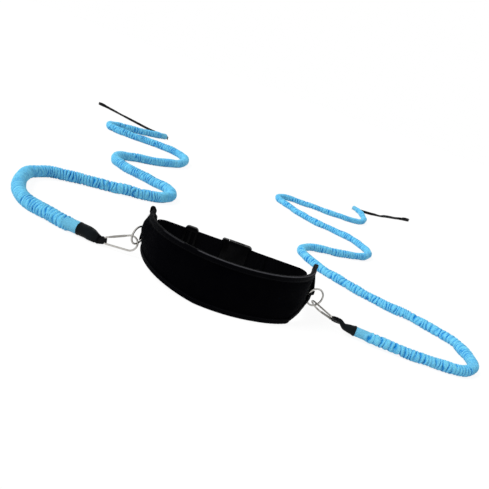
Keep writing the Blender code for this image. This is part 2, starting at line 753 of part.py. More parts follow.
def make_socket():
    end = SOCKET_MOUTH_X + SOCKET_BODY
    half = SOCKET_HALF_HEIGHT
    whole = block("buckle_socket", SOCKET_MOUTH_X, end + ARM_REACH, SOCKET_HALF_THICKNESS, -half, half,
                  BUCKLE_EDGE)  # fmt: skip
    socket = add("buckle_socket", whole, BLACK_PLASTIC)
    webbing_half = STRAP_WIDTH / 2 + ARM_GAP
    thick = SOCKET_HALF_THICKNESS + OVERRUN
    mouth = end + ARM_REACH + OVERRUN
    cut(socket, block("socket_strap_cut", end, mouth, thick, -webbing_half, webbing_half))
    inner = SOCKET_HALF_THICKNESS - SOCKET_FACE_WALL
    inner_half = half - SOCKET_SIDE_WALL
    cavity_end = end - SOCKET_END_WALL
    cut(socket, block("socket_cavity", SOCKET_MOUTH_X - OVERRUN, cavity_end, inner, -inner_half, inner_half))
    window = SOCKET_MOUTH_X + WINDOW_START
    for name, sign in (("lower", -1.0), ("upper", 1.0)):
        edges = sorted((sign * (inner_half - OVERRUN), sign * (half + OVERRUN)))
        cut(socket, block("socket_window_" + name, window, window + WINDOW_LENGTH, inner, *edges))
    join(socket, bar_mesh("socket_bar", SOCKET_BAR_X, webbing_half + (half - webbing_half) / 2))
    return socket


def make_plug():
    half = SOCKET_HALF_HEIGHT
    back = PLUG_FACE_X - PLUG_BODY
    outer = PLUG_BAR_X - BAR_RADIUS - SEAT_GAP
    whole = block("buckle_plug", outer, PLUG_FACE_X, PLUG_HALF_THICKNESS, -half, half, BUCKLE_EDGE)
    plug = add("buckle_plug", whole, BLACK_PLASTIC)
    webbing_half = STRAP_WIDTH / 2 + ARM_GAP
    thick = PLUG_HALF_THICKNESS + OVERRUN
    cut(plug, block("plug_strap_cut", outer - OVERRUN, back, thick, -webbing_half, webbing_half))
    join(plug, bar_mesh("plug_bar", PLUG_BAR_X, webbing_half + (half - webbing_half) / 2))
    height = GUIDE_HALF_HEIGHT
    root, tip = PLUG_FACE_X - PLUG_BODY / 2, PLUG_FACE_X + GUIDE_LENGTH
    guide = block("plug_guide", root, tip, INNER_HALF_THICKNESS, -height, height)
    join(plug, guide)
    room = PRONG_ROOT + RUNNING_GAP
    for name, sign in (("lower", -1.0), ("upper", 1.0)):
        middle = sign * PRONG_HEIGHT
        low, high = middle - room, middle + room
        seat_x = PLUG_FACE_X - PRONG_SEAT_DEPTH - room
        cut(plug, block("plug_seat_" + name, seat_x, PLUG_FACE_X + OVERRUN, thick, low, high))
    return plug


def make_prong(name, sign):
    """A flexing arm of the plug with its head in the socket's side window: a flat outline made thick."""
    pivot = rear_point(PLUG_FACE_X - PRONG_SEAT_DEPTH, REAR_Y) + UP * (sign * PRONG_HEIGHT)
    head_start = SOCKET_MOUTH_X + WINDOW_START + RUNNING_GAP - pivot.x
    head_end = SOCKET_MOUTH_X + WINDOW_START + WINDOW_LENGTH - RUNNING_GAP - pivot.x
    top = PRONG_DROP - PRONG_PROUD
    half = PRONG_ARM / 2
    corners = [
        (0.0, -PRONG_ROOT), (PRONG_ROOT, -half), (head_start, PRONG_RISE - half),
        (head_end - half, top - PRONG_HEAD_DEPTH), (head_end, top - PRONG_HEAD_DEPTH + half),
        (head_end, top - PRONG_ARM), (head_end - PRONG_ARM, top), (head_start, top),
        (head_start, PRONG_RISE + half), (PRONG_ROOT, half), (0.0, PRONG_ROOT),
        (-PRONG_ROOT * math.sin(math.pi / 4), PRONG_ROOT * math.sin(math.pi / 4)), (-PRONG_ROOT, 0.0),
        (-PRONG_ROOT * math.sin(math.pi / 4), -PRONG_ROOT * math.sin(math.pi / 4)),
    ]  # fmt: skip
    curve = bpy.data.curves.new(name, "CURVE")
    curve.dimensions = "2D"
    curve.fill_mode = "BOTH"
    curve.extrude = INNER_HALF_THICKNESS
    spline = curve.splines.new("POLY")
    spline.use_cyclic_u = True
    spline.points.add(len(corners) - 1)
    for spot, (x, z) in zip(spline.points, corners):
        spot.co = (x, sign * z, 0.0, 1.0)
    add(name, curve, BLACK_PLASTIC, None, pivot, Matrix.Rotation(math.pi / 2, 3, "X"))


def make_slider():
    half_length = SLIDER_LENGTH / 2
    tunnel = TRIPLE_OFFSET + STRAP_THICKNESS / 2 + RUNNING_GAP
    outer = tunnel + SLIDER_PLATE
    start, end = SLIDER_X - half_length, SLIDER_X + half_length
    half = SLIDER_HALF_HEIGHT
    whole = block("strap_slider", start, end, outer, -half, half, SLIDER_EDGE)
    slider = add("strap_slider", whole, BLACK_PLASTIC)
    webbing_half = STRAP_WIDTH / 2 + RUNNING_GAP
    first, last = start - OVERRUN, end + OVERRUN
    cut(slider, block("slider_tunnel", first, last, tunnel, -webbing_half, webbing_half))
    window = (SLIDER_LENGTH - 3 * SLIDER_BAR) / 2
    for name, low in (("near", start + SLIDER_BAR), ("far", SLIDER_X + SLIDER_BAR / 2)):
        reach = webbing_half - SLIDER_BAR
        cut(slider, block("slider_window_" + name, low, low + window, outer + OVERRUN, -reach, reach))
    seat(slider, rear_point(SLIDER_X, REAR_Y))
    return slider


# Snap hooks, in a frame with X along the hook, Y across it and the origin in the wire of its narrow end
def hook_side():
    """Ends, direction and outward direction of the hook's straight side, from narrow corner to wide end."""
    corner = Vector((HOOK_CORNER, HOOK_NARROW_HALF - HOOK_CORNER, 0.0))
    wide = Vector((HOOK_NARROW_HALF + HOOK_CENTRE_DISTANCE, 0.0, 0.0))
    between = wide - corner
    lean = math.acos((HOOK_CORNER - HOOK_WIDE_RADIUS) / between.length)
    turn = math.atan2(between.y, between.x) + lean
    outward = Vector((math.cos(turn), math.sin(turn), 0.0))
    start, end = corner + outward * HOOK_CORNER, wide + outward * HOOK_WIDE_RADIUS
    return start, end, (end - start).normalized(), turn, corner, wide


def make_hook(side):
    start, _, along, turn, corner, wide = hook_side()
    lower = Vector((1.0, -1.0, 1.0))
    corner_x, corner_y = Vector((HOOK_CORNER, 0.0, 0.0)), Vector((0.0, HOOK_CORNER, 0.0))
    wide_x, wide_y = Vector((HOOK_WIDE_RADIUS, 0.0, 0.0)), Vector((0.0, HOOK_WIDE_RADIUS, 0.0))
    hinge = start + along * GATE_HINGE_AT
    nose = start + along * GATE_NOSE_AT
    points = [hinge + along * TONGUE_REACH, hinge - along * TONGUE_STEP]
    points += arc(corner, corner_x, corner_y, turn, math.pi, 3)
    points += arc(corner * lower, corner_x, corner_y, math.pi, 2 * math.pi - turn, 3)
    points += arc(wide, wide_x, wide_y, -turn, turn, 12)
    points += [nose + along * RUNNING_GAP, nose - along * NOSE_REACH]
    mount = side.mount
    hook = tube(side.name + "_hook", points, [HOOK_WIRE] * len(points), NICKEL)
    hook.parent = mount
    hook = as_mesh(hook)
    slope = Matrix.Rotation(math.atan2(along.y, along.x), 3, "Z")
    half = TONGUE_THICKNESS / 2
    width = HOOK_WIRE + HOOK_WIRE
    runs = (
        ("hinge", hinge, -TONGUE_STEP, TONGUE_REACH + OVERRUN / 2),
        ("nose", nose, -NOSE_REACH - OVERRUN / 2, RUNNING_GAP),
    )
    for name, spot, low, high in runs:
        for face, z_low, z_high in (("under", -width, -half), ("over", half, width)):
            title = "_".join((side.name, name, face, "flat"))
            cut(hook, box_mesh(title, (low, -width, z_low), (high, width, z_high)), slope, spot)
    reach = UP * (GATE_RADIUS + OVERRUN)
    cut(hook, cylinder_mesh(side.name + "_tongue_hole", PIN_HOLE, -reach, reach), None, hinge)
    smooth(hook, 50.0)

    gate_end = GATE_NOSE_AT - GATE_HINGE_AT
    axis = Vector((1.0, 0.0, 0.0))
    body = cylinder_mesh(side.name + "_hook_gate", GATE_RADIUS, -axis * FORK_REACH, axis * gate_end)
    gate = add(side.name + "_hook_gate", body, NICKEL, mount, hinge, slope)
    slot = FORK_SLOT / 2
    wide_cut = GATE_RADIUS + OVERRUN
    low, high = (-FORK_REACH - OVERRUN, -wide_cut, -slot), (FORK_DEPTH, wide_cut, slot)
    fork = box_mesh(side.name + "_fork_slot", low, high)
    cut(gate, fork, slope, hinge)
    nose_slot = (gate_end - FORK_DEPTH, -wide_cut, -slot)
    notch = box_mesh(side.name + "_nose_slot", nose_slot, (gate_end + OVERRUN, wide_cut, slot))
    cut(gate, notch, slope, hinge)
    bore_end = FORK_DEPTH + SEAT_GAP + SPRING_LENGTH + SEAT_GAP
    bore = cylinder_mesh(side.name + "_spring_bore", SPRING_BORE, axis * (FORK_DEPTH / 2), axis * bore_end)
    cut(gate, bore, slope, hinge)
    cut(gate, cylinder_mesh(side.name + "_gate_hole", PIN_HOLE, -reach, reach), slope, hinge)
    smooth(gate, 50.0)

    pin = cylinder_mesh(side.name + "_gate_pin", PIN_RADIUS, -UP * GATE_RADIUS, UP * GATE_RADIUS, 8)
    smooth(add(side.name + "_gate_pin", pin, SPRING_STEEL, mount, hinge, slope), 60.0)
    spring_start = axis * (FORK_DEPTH + SEAT_GAP)
    spring_end = spring_start + axis * SPRING_LENGTH
    spring = cylinder_mesh(side.name + "_gate_spring", SPRING_RADIUS, spring_start, spring_end, SPRING_SIDES)
    smooth(add(side.name + "_gate_spring", spring, SPRING_STEEL, mount, hinge, slope), 60.0)
    side.gate_pivot = side.hook_pivot + side.hook_turn @ hinge


# Cuffs
def loft(name, sections, look):
    """Joins closed rings of points, as many in each, and caps the two ends."""
    bm = bmesh.new()
    rings = [[bm.verts.new(point) for point in section] for section in sections]
    count = len(rings[0])
    for before, after in zip(rings, rings[1:]):
        for i in range(count):
            bm.faces.new((before[i], before[(i + 1) % count], after[(i + 1) % count], after[i]))
    bm.faces.new(rings[0])
    bm.faces.new(rings[-1])
    return add(name, mesh_from(bm, name), look)


def cuff_section(centre, along, across, half_width, half_thickness, squareness):
    """A ring of points between an ellipse and a rounded bar."""
    along = along.normalized()
    thick = along.cross(across).normalized()
    wide = thick.cross(along).normalized()
    points = []
    for i in range(ROUND_SIDES):
        turn = 2 * math.pi * (i + 0.5) / ROUND_SIDES
        c, s = math.cos(turn), math.sin(turn)
        x = math.copysign(abs(c) ** (2 / squareness), c) * half_width
        y = math.copysign(abs(s) ** (2 / squareness), s) * half_thickness
        points.append(centre + wide * x + thick * y)
    return points


def bezier(first, second, third, fourth, share):
    rest = 1.0 - share
    return (first * rest**3 + second * (3 * rest * rest * share) + third * (3 * rest * share * share)
            + fourth * share**3)  # fmt: skip


def cord_start(side):
    """Where the sleeve starts, and its direction there."""
    x, y = LEFT_CORD_START if side is LEFT else RIGHT_CORD_START
    turn = LEFT_START_TURN if side is LEFT else RIGHT_START_TURN
    return Vector((x, y, SLEEVE_CREST)), Vector((math.cos(turn), math.sin(turn), 0.0))


def cuff_direction(side):
    """Square to the hook's hinge wire, as near as it can be to the line to the sleeve."""
    start, _ = cord_start(side)
    line = start - side.hook_pivot
    return (line - side.across * line.dot(side.across)).normalized()


def make_cuff_loop(side):
    outward = cuff_direction(side)
    aside = side.across.cross(outward).normalized()
    radius = HOOK_WIRE + SEAT_GAP + CUFF_WEBBING / 2
    flare_end = CUFF_NECK_RUN + CUFF_FLARE_RUN
    legs = (
        (CUFF_LOOP_LEG, CUFF_LOOP_WIDTH),
        (flare_end, CUFF_LOOP_WIDTH),
        (CUFF_NECK_RUN, CUFF_BIGHT_WIDTH),
    )
    pivot = side.hook_pivot
    stations = [(pivot + aside * radius + outward * run, side.across, width) for run, width in legs]
    bow = arc(pivot, aside * radius, -outward * radius, 0.0, math.pi, 6)
    stations += [(spot, side.across, CUFF_BIGHT_WIDTH) for spot in bow]
    for run, width in reversed(legs):
        stations.append((pivot - aside * radius + outward * run, side.across, width))
    smooth(webbing(side.name + "_cuff_loop", stations, CUFF_WEBBING, BLACK_WEBBING), 50.0)


def make_cuff(side):
    outward = cuff_direction(side)
    start, direction = cord_start(side)
    tongue_half = HOOK_WIRE
    tongue_start = side.hook_pivot + outward * (HOOK_WIRE + TONGUE_REACH + CUFF_NECK_RUN)
    shoulder = side.hook_pivot + outward * (CUFF_LOOP_LEG + SEAT_GAP)
    bore_end = start - direction * (CUFF_BORE_DEPTH + SEAT_GAP)
    handle = (bore_end - shoulder).length / 2
    across = side.across
    sections = [
        cuff_section(tongue_start, outward, across, TONGUE_HALF_WIDTH / 2, tongue_half, 4.0),
        cuff_section(shoulder, outward, across, TONGUE_HALF_WIDTH, tongue_half, 4.0),
        cuff_section(shoulder, outward, across, SHOULDER_HALF_WIDTH, SHOULDER_HALF_THICKNESS, 3.2),
    ]
    spots = [
        bezier(shoulder, shoulder + outward * handle, bore_end - direction * handle, bore_end, share)
        for share in (0.4, 0.7, 1.0)
    ]
    last = shoulder
    for spot, share, squareness in zip(spots, (0.45, 0.80, 1.0), (2.8, 2.3, 2.0)):
        along = spot - last if spot is not spots[-1] else direction
        last = spot
        wide = SHOULDER_HALF_WIDTH + (CUFF_RADIUS - SHOULDER_HALF_WIDTH) * share
        thick = SHOULDER_HALF_THICKNESS + (CUFF_RADIUS - SHOULDER_HALF_THICKNESS) * share
        spot.z = max(spot.z, wide + SEAT_GAP)
        sections.append(cuff_section(spot, along, across, wide, thick, squareness))
    face = start - direction * SEAT_GAP
    sections.append(cuff_section(face, direction, across, CUFF_RADIUS, CUFF_RADIUS, 2.0))
    cuff = loft(side.name + "_cuff", sections, BLACK_FABRIC)
    cut(cuff, cylinder_mesh(side.name + "_cuff_bore", CUFF_BORE, start - direction * CUFF_BORE_DEPTH,
                            start + direction * OVERRUN))  # fmt: skip
    smooth(cuff, 50.0)
    end = start - direction * (SEAT_GAP + SEAT_GAP)
    ferrule_start = end - direction * NEAR_FERRULE_LENGTH
    body = cylinder_mesh(side.name + "_near_ferrule", FERRULE_RADIUS, ferrule_start, end)
    ferrule = add(side.name + "_near_ferrule", body, SPRING_STEEL)
    grip = cylinder_mesh(side.name + "_near_grip", RUBBER_RADIUS + FERRULE_CLEARANCE * 2,
                         end - direction * FERRULE_GRIP, end + direction * OVERRUN)  # fmt: skip
    cut(ferrule, grip)
    smooth(ferrule, 50.0)


# Cords
def smooth_line(points, steps, first=None, last=None):
    """A smooth curve through the points, as many steps to each, with a given direction at either end."""
    points = [Vector(point) for point in points]
    spans = [(b - a).length for a, b in zip(points, points[1:])]
    slopes = [(b - a) / span for a, b, span in zip(points, points[1:], spans)]
    turns = [first or slopes[0]]
    for i in range(1, len(points) - 1):
        turns.append((slopes[i] * spans[i - 1] + slopes[i - 1] * spans[i]) / (spans[i - 1] + spans[i]))
    turns.append(last or slopes[-1])
    line = []
    for i, span in enumerate(spans):
        for step in range(steps):
            t = step / steps
            line.append(
                points[i] * (2 * t**3 - 3 * t**2 + 1)
                + turns[i] * (span * (t**3 - 2 * t**2 + t))
                + points[i + 1] * (3 * t**2 - 2 * t**3)
                + turns[i + 1] * (span * (t**3 - t**2))
            )
    line.append(points[-1])
    return line


def measure(line):
    travelled = [0.0]
    for before, after in zip(line, line[1:]):
        travelled.append(travelled[-1] + (after - before).length)
    return travelled


def at(line, travelled, distance):
    """The point at a distance along a line, which runs on straight past both its ends."""
    if distance <= 0.0:
        return line[0] + (line[0] - line[1]).normalized() * -distance
    if distance >= travelled[-1]:
        return line[-1] + (line[-1] - line[-2]).normalized() * (distance - travelled[-1])
    index = bisect.bisect_right(travelled, distance)
    before, after = line[index - 1], line[index]
    share = (distance - travelled[index - 1]) / (travelled[index] - travelled[index - 1])
    return before + (after - before) * share


def cord_line(side):
    """The cord's middle line from the cuff's end face to the sleeve's far end, straight near both ends."""
    start, direction = cord_start(side)
    route = LEFT_CORD_ROUTE if side is LEFT else RIGHT_CORD_ROUTE
    end_x, end_y = LEFT_CORD_END if side is LEFT else RIGHT_CORD_END
    height = SLEEVE_CREST
    end = Vector((end_x, end_y, height))
    back = (Vector((*route[-1], height)) - end).normalized()
    middle = [start + direction * SMOOTH_START] + [Vector((x, y, height)) for x, y in route[:-1]]
    middle.append(end + back * SMOOTH_END)
    line = [start] + smooth_line(middle, ROUTE_STEPS, direction, -back) + [end]
    return line, measure(line)


def least_gap(line, travelled, radius):
    """The least gap between two stretches of the cord that aren't next to each other."""
    step = radius
    spots = [at(line, travelled, step * i) for i in range(int(travelled[-1] / step))]
    apart = 8
    least = min(
        (first - second).length for i, first in enumerate(spots) for second in spots[i + apart :: 2]
    )
    return least - 2 * radius


def make_cord(side):
    line, travelled = cord_line(side)
    side.line, side.travelled = line, travelled
    length = travelled[-1]
    ribbed = length - SMOOTH_START - SMOOTH_END
    pitch = ribbed / RIBS
    stops = [(SEAT_GAP, SLEEVE_SMOOTH), (SMOOTH_START, SLEEVE_SMOOTH)]
    inner = [-OVERRUN, SMOOTH_START]
    for rib in range(RIBS):
        first = SMOOTH_START + pitch * rib
        stops += [(first + pitch * 0.25, SLEEVE_CREST), (first + pitch * 0.75, SLEEVE_VALLEY)]
        inner.append(first + pitch * 0.75)
    stops += [(length - SMOOTH_END, SLEEVE_SMOOTH), (length, SLEEVE_SMOOTH)]
    inner += [length - SMOOTH_END, length + OVERRUN]
    points = [at(line, travelled, distance) for distance, _ in stops]
    radii = [radius for _, radius in stops]
    sleeve = as_mesh(tube(side.name + "_sleeve", points, radii, BLUE_SLEEVE, "Z_UP"))
    points = [at(line, travelled, distance) for distance in inner]
    bore = as_mesh(tube(side.name + "_sleeve_bore", points, [SLEEVE_BORE] * len(points), None, "Z_UP"))
    as_cutter(bore, sleeve)
    end = line[-1]
    direction = (line[-1] - line[-2]).normalized()
    side.cord_end, side.end_direction = end, direction
    cut(sleeve, cylinder_mesh(side.name + "_far_bore", FAR_BORE, end - direction * FAR_BORE_DEPTH,
                              end + direction * OVERRUN))  # fmt: skip
    smooth(sleeve, 60.0)

    core_start = -(2 * SEAT_GAP + FERRULE_GRIP - SEAT_GAP)
    ferrule_end = length - 2 * SEAT_GAP
    ferrule_start = ferrule_end - FAR_FERRULE_LENGTH
    core_end = ferrule_start + FERRULE_GRIP - SEAT_GAP
    inner = [core_start] + inner[1:-2] + [length - SMOOTH_END, core_end]
    points = [at(line, travelled, distance) for distance in inner]
    core = tube(side.name + "_elastic_cord", points, [RUBBER_RADIUS] * len(points), RUBBER, "Z_UP")
    smooth(as_mesh(core), 60.0)

    near, far = at(line, travelled, ferrule_start), at(line, travelled, ferrule_end)
    body = cylinder_mesh(side.name + "_far_ferrule", FERRULE_RADIUS, near, far)
    ferrule = add(side.name + "_far_ferrule", body, SPRING_STEEL)
    cut(ferrule, cylinder_mesh(side.name + "_far_grip", RUBBER_RADIUS + FERRULE_CLEARANCE * 2,
                               near - direction * OVERRUN, near + direction * FERRULE_GRIP))  # fmt: skip
    slot_half = FAR_THICKNESS / 2 + FERRULE_CLEARANCE
    slot_reach = FAR_TONGUE_WIDTH / 2 + FERRULE_CLEARANCE
    slot = box_mesh(side.name + "_far_slot", (-FAR_TONGUE_GRIP, -slot_half, -slot_reach),
                    (OVERRUN, slot_half, slot_reach))  # fmt: skip
    cut(ferrule, slot, Matrix.Rotation(math.atan2(direction.y, direction.x), 3, "Z"), far)
    smooth(ferrule, 50.0)
    gap = least_gap(line, travelled, SLEEVE_CREST)
    print(f"{side.name} cord {length:.3f} m, least gap to itself {gap * 1000:.1f} mm")


def make_far_strap(side):
    route = LEFT_STRAP_ROUTE if side is LEFT else RIGHT_STRAP_ROUTE
    tilts = LEFT_STRAP_TILTS if side is LEFT else RIGHT_STRAP_TILTS
    end, direction = side.cord_end, side.end_direction
    grip = end - direction * (2 * SEAT_GAP + FAR_TONGUE_GRIP - SEAT_GAP)
    half, thick = FAR_WIDTH / 2, FAR_THICKNESS / 2

    def lie(tilt):
        return half * math.sin(tilt) + thick * math.cos(tilt) + FAR_LIFT

    plan = [Vector((x, y, math.radians(tilt))) for (x, y), tilt in zip(route, tilts)]
    first = end + direction * FAR_TONGUE_WIDTH
    plan = [Vector((first.x, first.y, math.pi / 2))] + plan
    line = smooth_line(plan, STRAP_STEPS)
    stations = [(grip, UP, FAR_TONGUE_WIDTH), (end, UP, FAR_TONGUE_WIDTH)]
    for i, spot in enumerate(line):
        ahead = line[min(i + 1, len(line) - 1)] - line[max(i - 1, 0)]
        aside = Vector((-ahead.y, ahead.x, 0.0)).normalized()
        tilt = spot.z
        height = lie(tilt) + (SLEEVE_CREST - lie(tilt)) * max(1.0 - i / STRAP_STEPS, 0.0)
        across = aside * math.cos(tilt) + UP * math.sin(tilt)
        width = FAR_WIDTH if i else (FAR_TONGUE_WIDTH + FAR_WIDTH) / 2
        stations.append((Vector((spot.x, spot.y, height)), across, width))
    knot = stations[-1][0]
    knot.z = lie(math.pi / 2)
    stations[-1] = (knot, UP, FAR_WIDTH)
    forward = line[-1] - line[-2]
    forward = Vector((forward.x, forward.y, 0.0)).normalized()
    aside = Vector((-forward.y, forward.x, 0.0))
    for along, out in zip(LOOP_ALONG_SHARES, LOOP_SIDE_SHARES):
        spot = knot + forward * (FAR_LOOP_LENGTH * along) + aside * (FAR_LOOP_HALF * out)
        stations.append((spot, UP, FAR_WIDTH))
    beside = -aside * (FAR_THICKNESS + 2 * SEAT_GAP)
    stations.append((knot + beside, UP, FAR_WIDTH))
    smooth(webbing(side.name + "_far_strap", stations, FAR_THICKNESS, BLACK_WEBBING), 60.0)


def main():
    make_panel()
    make_bindings()
    for side in (LEFT, RIGHT):
        side.mount = empty(side.name + "_hook_pose", side.hook_pivot, side.hook_turn, FRAME)
        make_ring(side)
        make_ring_loop(side)
        make_hook(side)
        make_cuff_loop(side)
        make_cuff(side)
        make_cord(side)
        make_far_strap(side)
    make_rear_straps()
    make_socket()
    make_plug()
    make_prong("buckle_prong_upper", 1.0)
    make_prong("buckle_prong_lower", -1.0)
    make_slider()
    bpy.context.view_layer.update()
    for side in (LEFT, RIGHT):
        pivots = {"ring": side.ring_pivot, "hook": side.hook_pivot, "gate": side.gate_pivot}
        for name, spot in pivots.items():
            print(side.name, name, "joint at", [round(value, 5) for value in FRAME.location + spot])
        print(side.name, "hook axis", [round(value, 5) for value in side.across])
        print(side.name, "gate axis", [round(value, 5) for value in side.face])


main()
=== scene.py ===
"""Looks of a resistance sprint trainer: a padded waist belt, two snap hooks and two ruched, sleeved elastic cords.

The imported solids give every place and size. The belt stands on its lower edge with its front panel towards -Y, and
all lengths are in metres.
"""

from __future__ import annotations

import json
import logging
import math
from collections.abc import Callable, Sequence
from dataclasses import dataclass, field
from enum import Enum

import bpy
import numpy as np
from bpy.types import Material, Node, NodeSocket, NodeTree, Object
from mathutils import Matrix, Vector

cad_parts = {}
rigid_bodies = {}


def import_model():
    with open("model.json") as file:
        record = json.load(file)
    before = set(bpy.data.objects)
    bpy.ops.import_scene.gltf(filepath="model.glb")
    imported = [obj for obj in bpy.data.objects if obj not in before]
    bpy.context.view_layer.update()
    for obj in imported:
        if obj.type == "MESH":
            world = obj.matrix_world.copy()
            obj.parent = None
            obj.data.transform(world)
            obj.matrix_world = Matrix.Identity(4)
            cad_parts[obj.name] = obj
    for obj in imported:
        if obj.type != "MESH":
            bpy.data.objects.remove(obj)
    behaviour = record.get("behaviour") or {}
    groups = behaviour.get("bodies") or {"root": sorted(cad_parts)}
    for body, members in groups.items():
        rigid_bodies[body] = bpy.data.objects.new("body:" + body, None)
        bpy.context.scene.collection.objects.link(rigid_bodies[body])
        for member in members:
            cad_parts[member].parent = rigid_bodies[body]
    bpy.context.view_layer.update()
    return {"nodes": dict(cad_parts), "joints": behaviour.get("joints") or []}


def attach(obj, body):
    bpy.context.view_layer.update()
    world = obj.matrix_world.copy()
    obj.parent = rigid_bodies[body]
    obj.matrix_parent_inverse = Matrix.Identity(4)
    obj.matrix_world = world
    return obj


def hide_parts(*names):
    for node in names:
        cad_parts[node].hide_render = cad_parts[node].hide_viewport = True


LOG = logging.getLogger("sprint_trainer")

# Places that the whole trainer shares
SHIFT = np.array((-0.008469, 0.00465, 0.0))
UP = np.array((0.0, 0.0, 1.0))
SEAT_GAP = 0.0003
SAME_PLACE = 1e-6
SEED = 20260

Colour = tuple[float, float, float, float]
Lengths = tuple[float, ...]


class Slot(Enum):
    """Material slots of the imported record."""

    SHELL = "shell_fabric"
    LINING = "lining_fabric"
    FOAM = "foam"
    PALE_BINDING = "pale_binding"
    DARK_BINDING = "dark_binding"
    WEBBING = "webbing"
    NICKEL = "nickel_steel"
    PIN = "pin_steel"
    BUCKLE = "buckle_plastic"
    CUFF = "cuff_rubber"
    RUBBER = "elastic_rubber"
    BLUE = "blue_fabric"


class Hand(Enum):
    """The two sides of the trainer, as the photograph shows them."""

    LEFT = "left"
    RIGHT = "right"

    @property
    def sign(self) -> float:
        """-1 on the left and 1 on the right."""
        return -1.0 if self is Hand.LEFT else 1.0


# Small tools for lines and meshes
def unit(vectors: np.ndarray) -> np.ndarray:
    """Scales each vector to length one."""
    vectors = np.asarray(vectors, float)
    return vectors / np.maximum(np.linalg.norm(vectors, axis=-1, keepdims=True), 1e-12)


def smoothstep(values: np.ndarray | float) -> np.ndarray:
    """A soft ramp from 0 to 1."""
    share = np.clip(values, 0.0, 1.0)
    return share * share * (3.0 - 2.0 * share)


def hermite(
    points: Sequence, steps: int, first: np.ndarray | None = None, last: np.ndarray | None = None
) -> np.ndarray:
    """A smooth curve through points.

    Args:
        points: rows of equal length that the curve goes through.
        steps: how many samples each span gets.
        first: the direction at the start, if it is set.
        last: the direction at the end, if it is set.

    Returns:
        The samples, one row each, with the last point.
    """
    rows = np.asarray(points, float)
    spans = np.linalg.norm(np.diff(rows, axis=0), axis=1)
    slopes = np.diff(rows, axis=0) / spans[:, None]
    turns = np.empty_like(rows)
    turns[0] = slopes[0] if first is None else first
    turns[-1] = slopes[-1] if last is None else last
    before, after = spans[:-1, None], spans[1:, None]
    turns[1:-1] = (slopes[1:] * before + slopes[:-1] * after) / (before + after)
    share = (np.arange(steps) / steps)[None, :, None]
    start, end = rows[:-1, None, :], rows[1:, None, :]
    reach = spans[:, None, None]
    curve = (
        start * (2 * share**3 - 3 * share**2 + 1)
        + turns[:-1, None, :] * reach * (share**3 - 2 * share**2 + share)
        + end * (3 * share**2 - 2 * share**3)
        + turns[1:, None, :] * reach * (share**3 - share**2)
    )
    return np.vstack((curve.reshape(-1, rows.shape[1]), rows[-1:]))


def travelled(line: np.ndarray) -> np.ndarray:
    """Distance along a line at each of its points."""
    return np.concatenate(([0.0], np.cumsum(np.linalg.norm(np.diff(line, axis=0), axis=1))))


def at_distances(line: np.ndarray, distances: np.ndarray) -> np.ndarray:
    """Points of a line at some distances along it."""
    reach = travelled(line)
    return np.stack([np.interp(distances, reach, line[:, axis]) for axis in range(line.shape[1])], axis=1)


def directions(line: np.ndarray) -> np.ndarray:
    """Direction of travel at each point of a line."""
    return unit(np.gradient(line, axis=0))


def arc(centre: np.ndarray, first: np.ndarray, second: np.ndarray, start: float, end: float, steps: int) -> np.ndarray:
    """Points of a circle about a centre, whose two radius vectors are given, between two angles."""
    turns = np.linspace(start, end, steps + 1)[:, None]
    return np.asarray(centre) + np.asarray(first) * np.cos(turns) + np.asarray(second) * np.sin(turns)


class Ripple:
    """Smooth, repeatable unevenness over a length and a turn, made of a few waves."""

    def __init__(self, seed: int, shortest: float, longest: float, waves: int, turns: int) -> None:
        """Draws the waves.

        Args:
            seed: makes the draw repeatable.
            shortest: the shortest wavelength along the length.
            longest: the longest one.
            waves: how many waves are added up.
            turns: the most waves around the turn.
        """
        draw = np.random.default_rng(seed)
        lengths = np.exp(draw.uniform(math.log(shortest), math.log(longest), waves))
        self.rates = 2.0 * math.pi / lengths
        self.turns = draw.integers(-turns, turns + 1, waves)
        self.starts = draw.uniform(0.0, 2.0 * math.pi, waves)
        self.scale = math.sqrt(2.0 / waves)

    def at(self, along: np.ndarray, around: np.ndarray | float = 0.0) -> np.ndarray:
        """Unevenness at a length and a turn, mostly between -1 and 1."""
        total = 0.0
        for rate, turn, start in zip(self.rates, self.turns, self.starts):
            total = total + np.sin(rate * along + turn * around + start)
        return total * self.scale


def link_new(name: str, data: object) -> Object:
    """Puts a mesh, a curve, a camera or a light into the scene."""
    made = bpy.data.objects.new(name, data)
    bpy.context.scene.collection.objects.link(made)
    return made


def new_object(name: str, verts: np.ndarray, faces: list, uvs: np.ndarray | None = None) -> Object:
    """Makes a smooth mesh object from points and faces.

    Args:
        name: the piece's name.
        verts: points, one row each.
        faces: point numbers of each face.
        uvs: a flat position in metres for each face corner, in the order of the faces.

    Returns:
        The new object, at the origin.
    """
    mesh = bpy.data.meshes.new(name)
    mesh.from_pydata(np.asarray(verts, float).tolist(), [], faces)
    if uvs is not None:
        layer = mesh.uv_layers.new(name="UVMap")
        layer.data.foreach_set("uv", np.asarray(uvs, np.float32).ravel())
    mesh.shade_smooth()
    mesh.update()
    made = link_new(name, mesh)
    turn_outwards(made)
    return made


def turn_outwards(piece: Object) -> None:
    """Reverses the faces of a closed mesh if they point inwards."""
    mesh = piece.data
    mesh.calc_loop_triangles()
    corners = np.empty(len(mesh.loop_triangles) * 3, np.int32)
    mesh.loop_triangles.foreach_get("vertices", corners)
    spots = np.empty(len(mesh.vertices) * 3)
    mesh.vertices.foreach_get("co", spots)
    spots = spots.reshape(-1, 3)
    spots = spots - spots.mean(axis=0)
    first, second, third = (spots[corners[start::3]] for start in range(3))
    if np.einsum("ij,ij->i", first, np.cross(second, third)).sum() < 0.0:
        mesh.flip_normals()


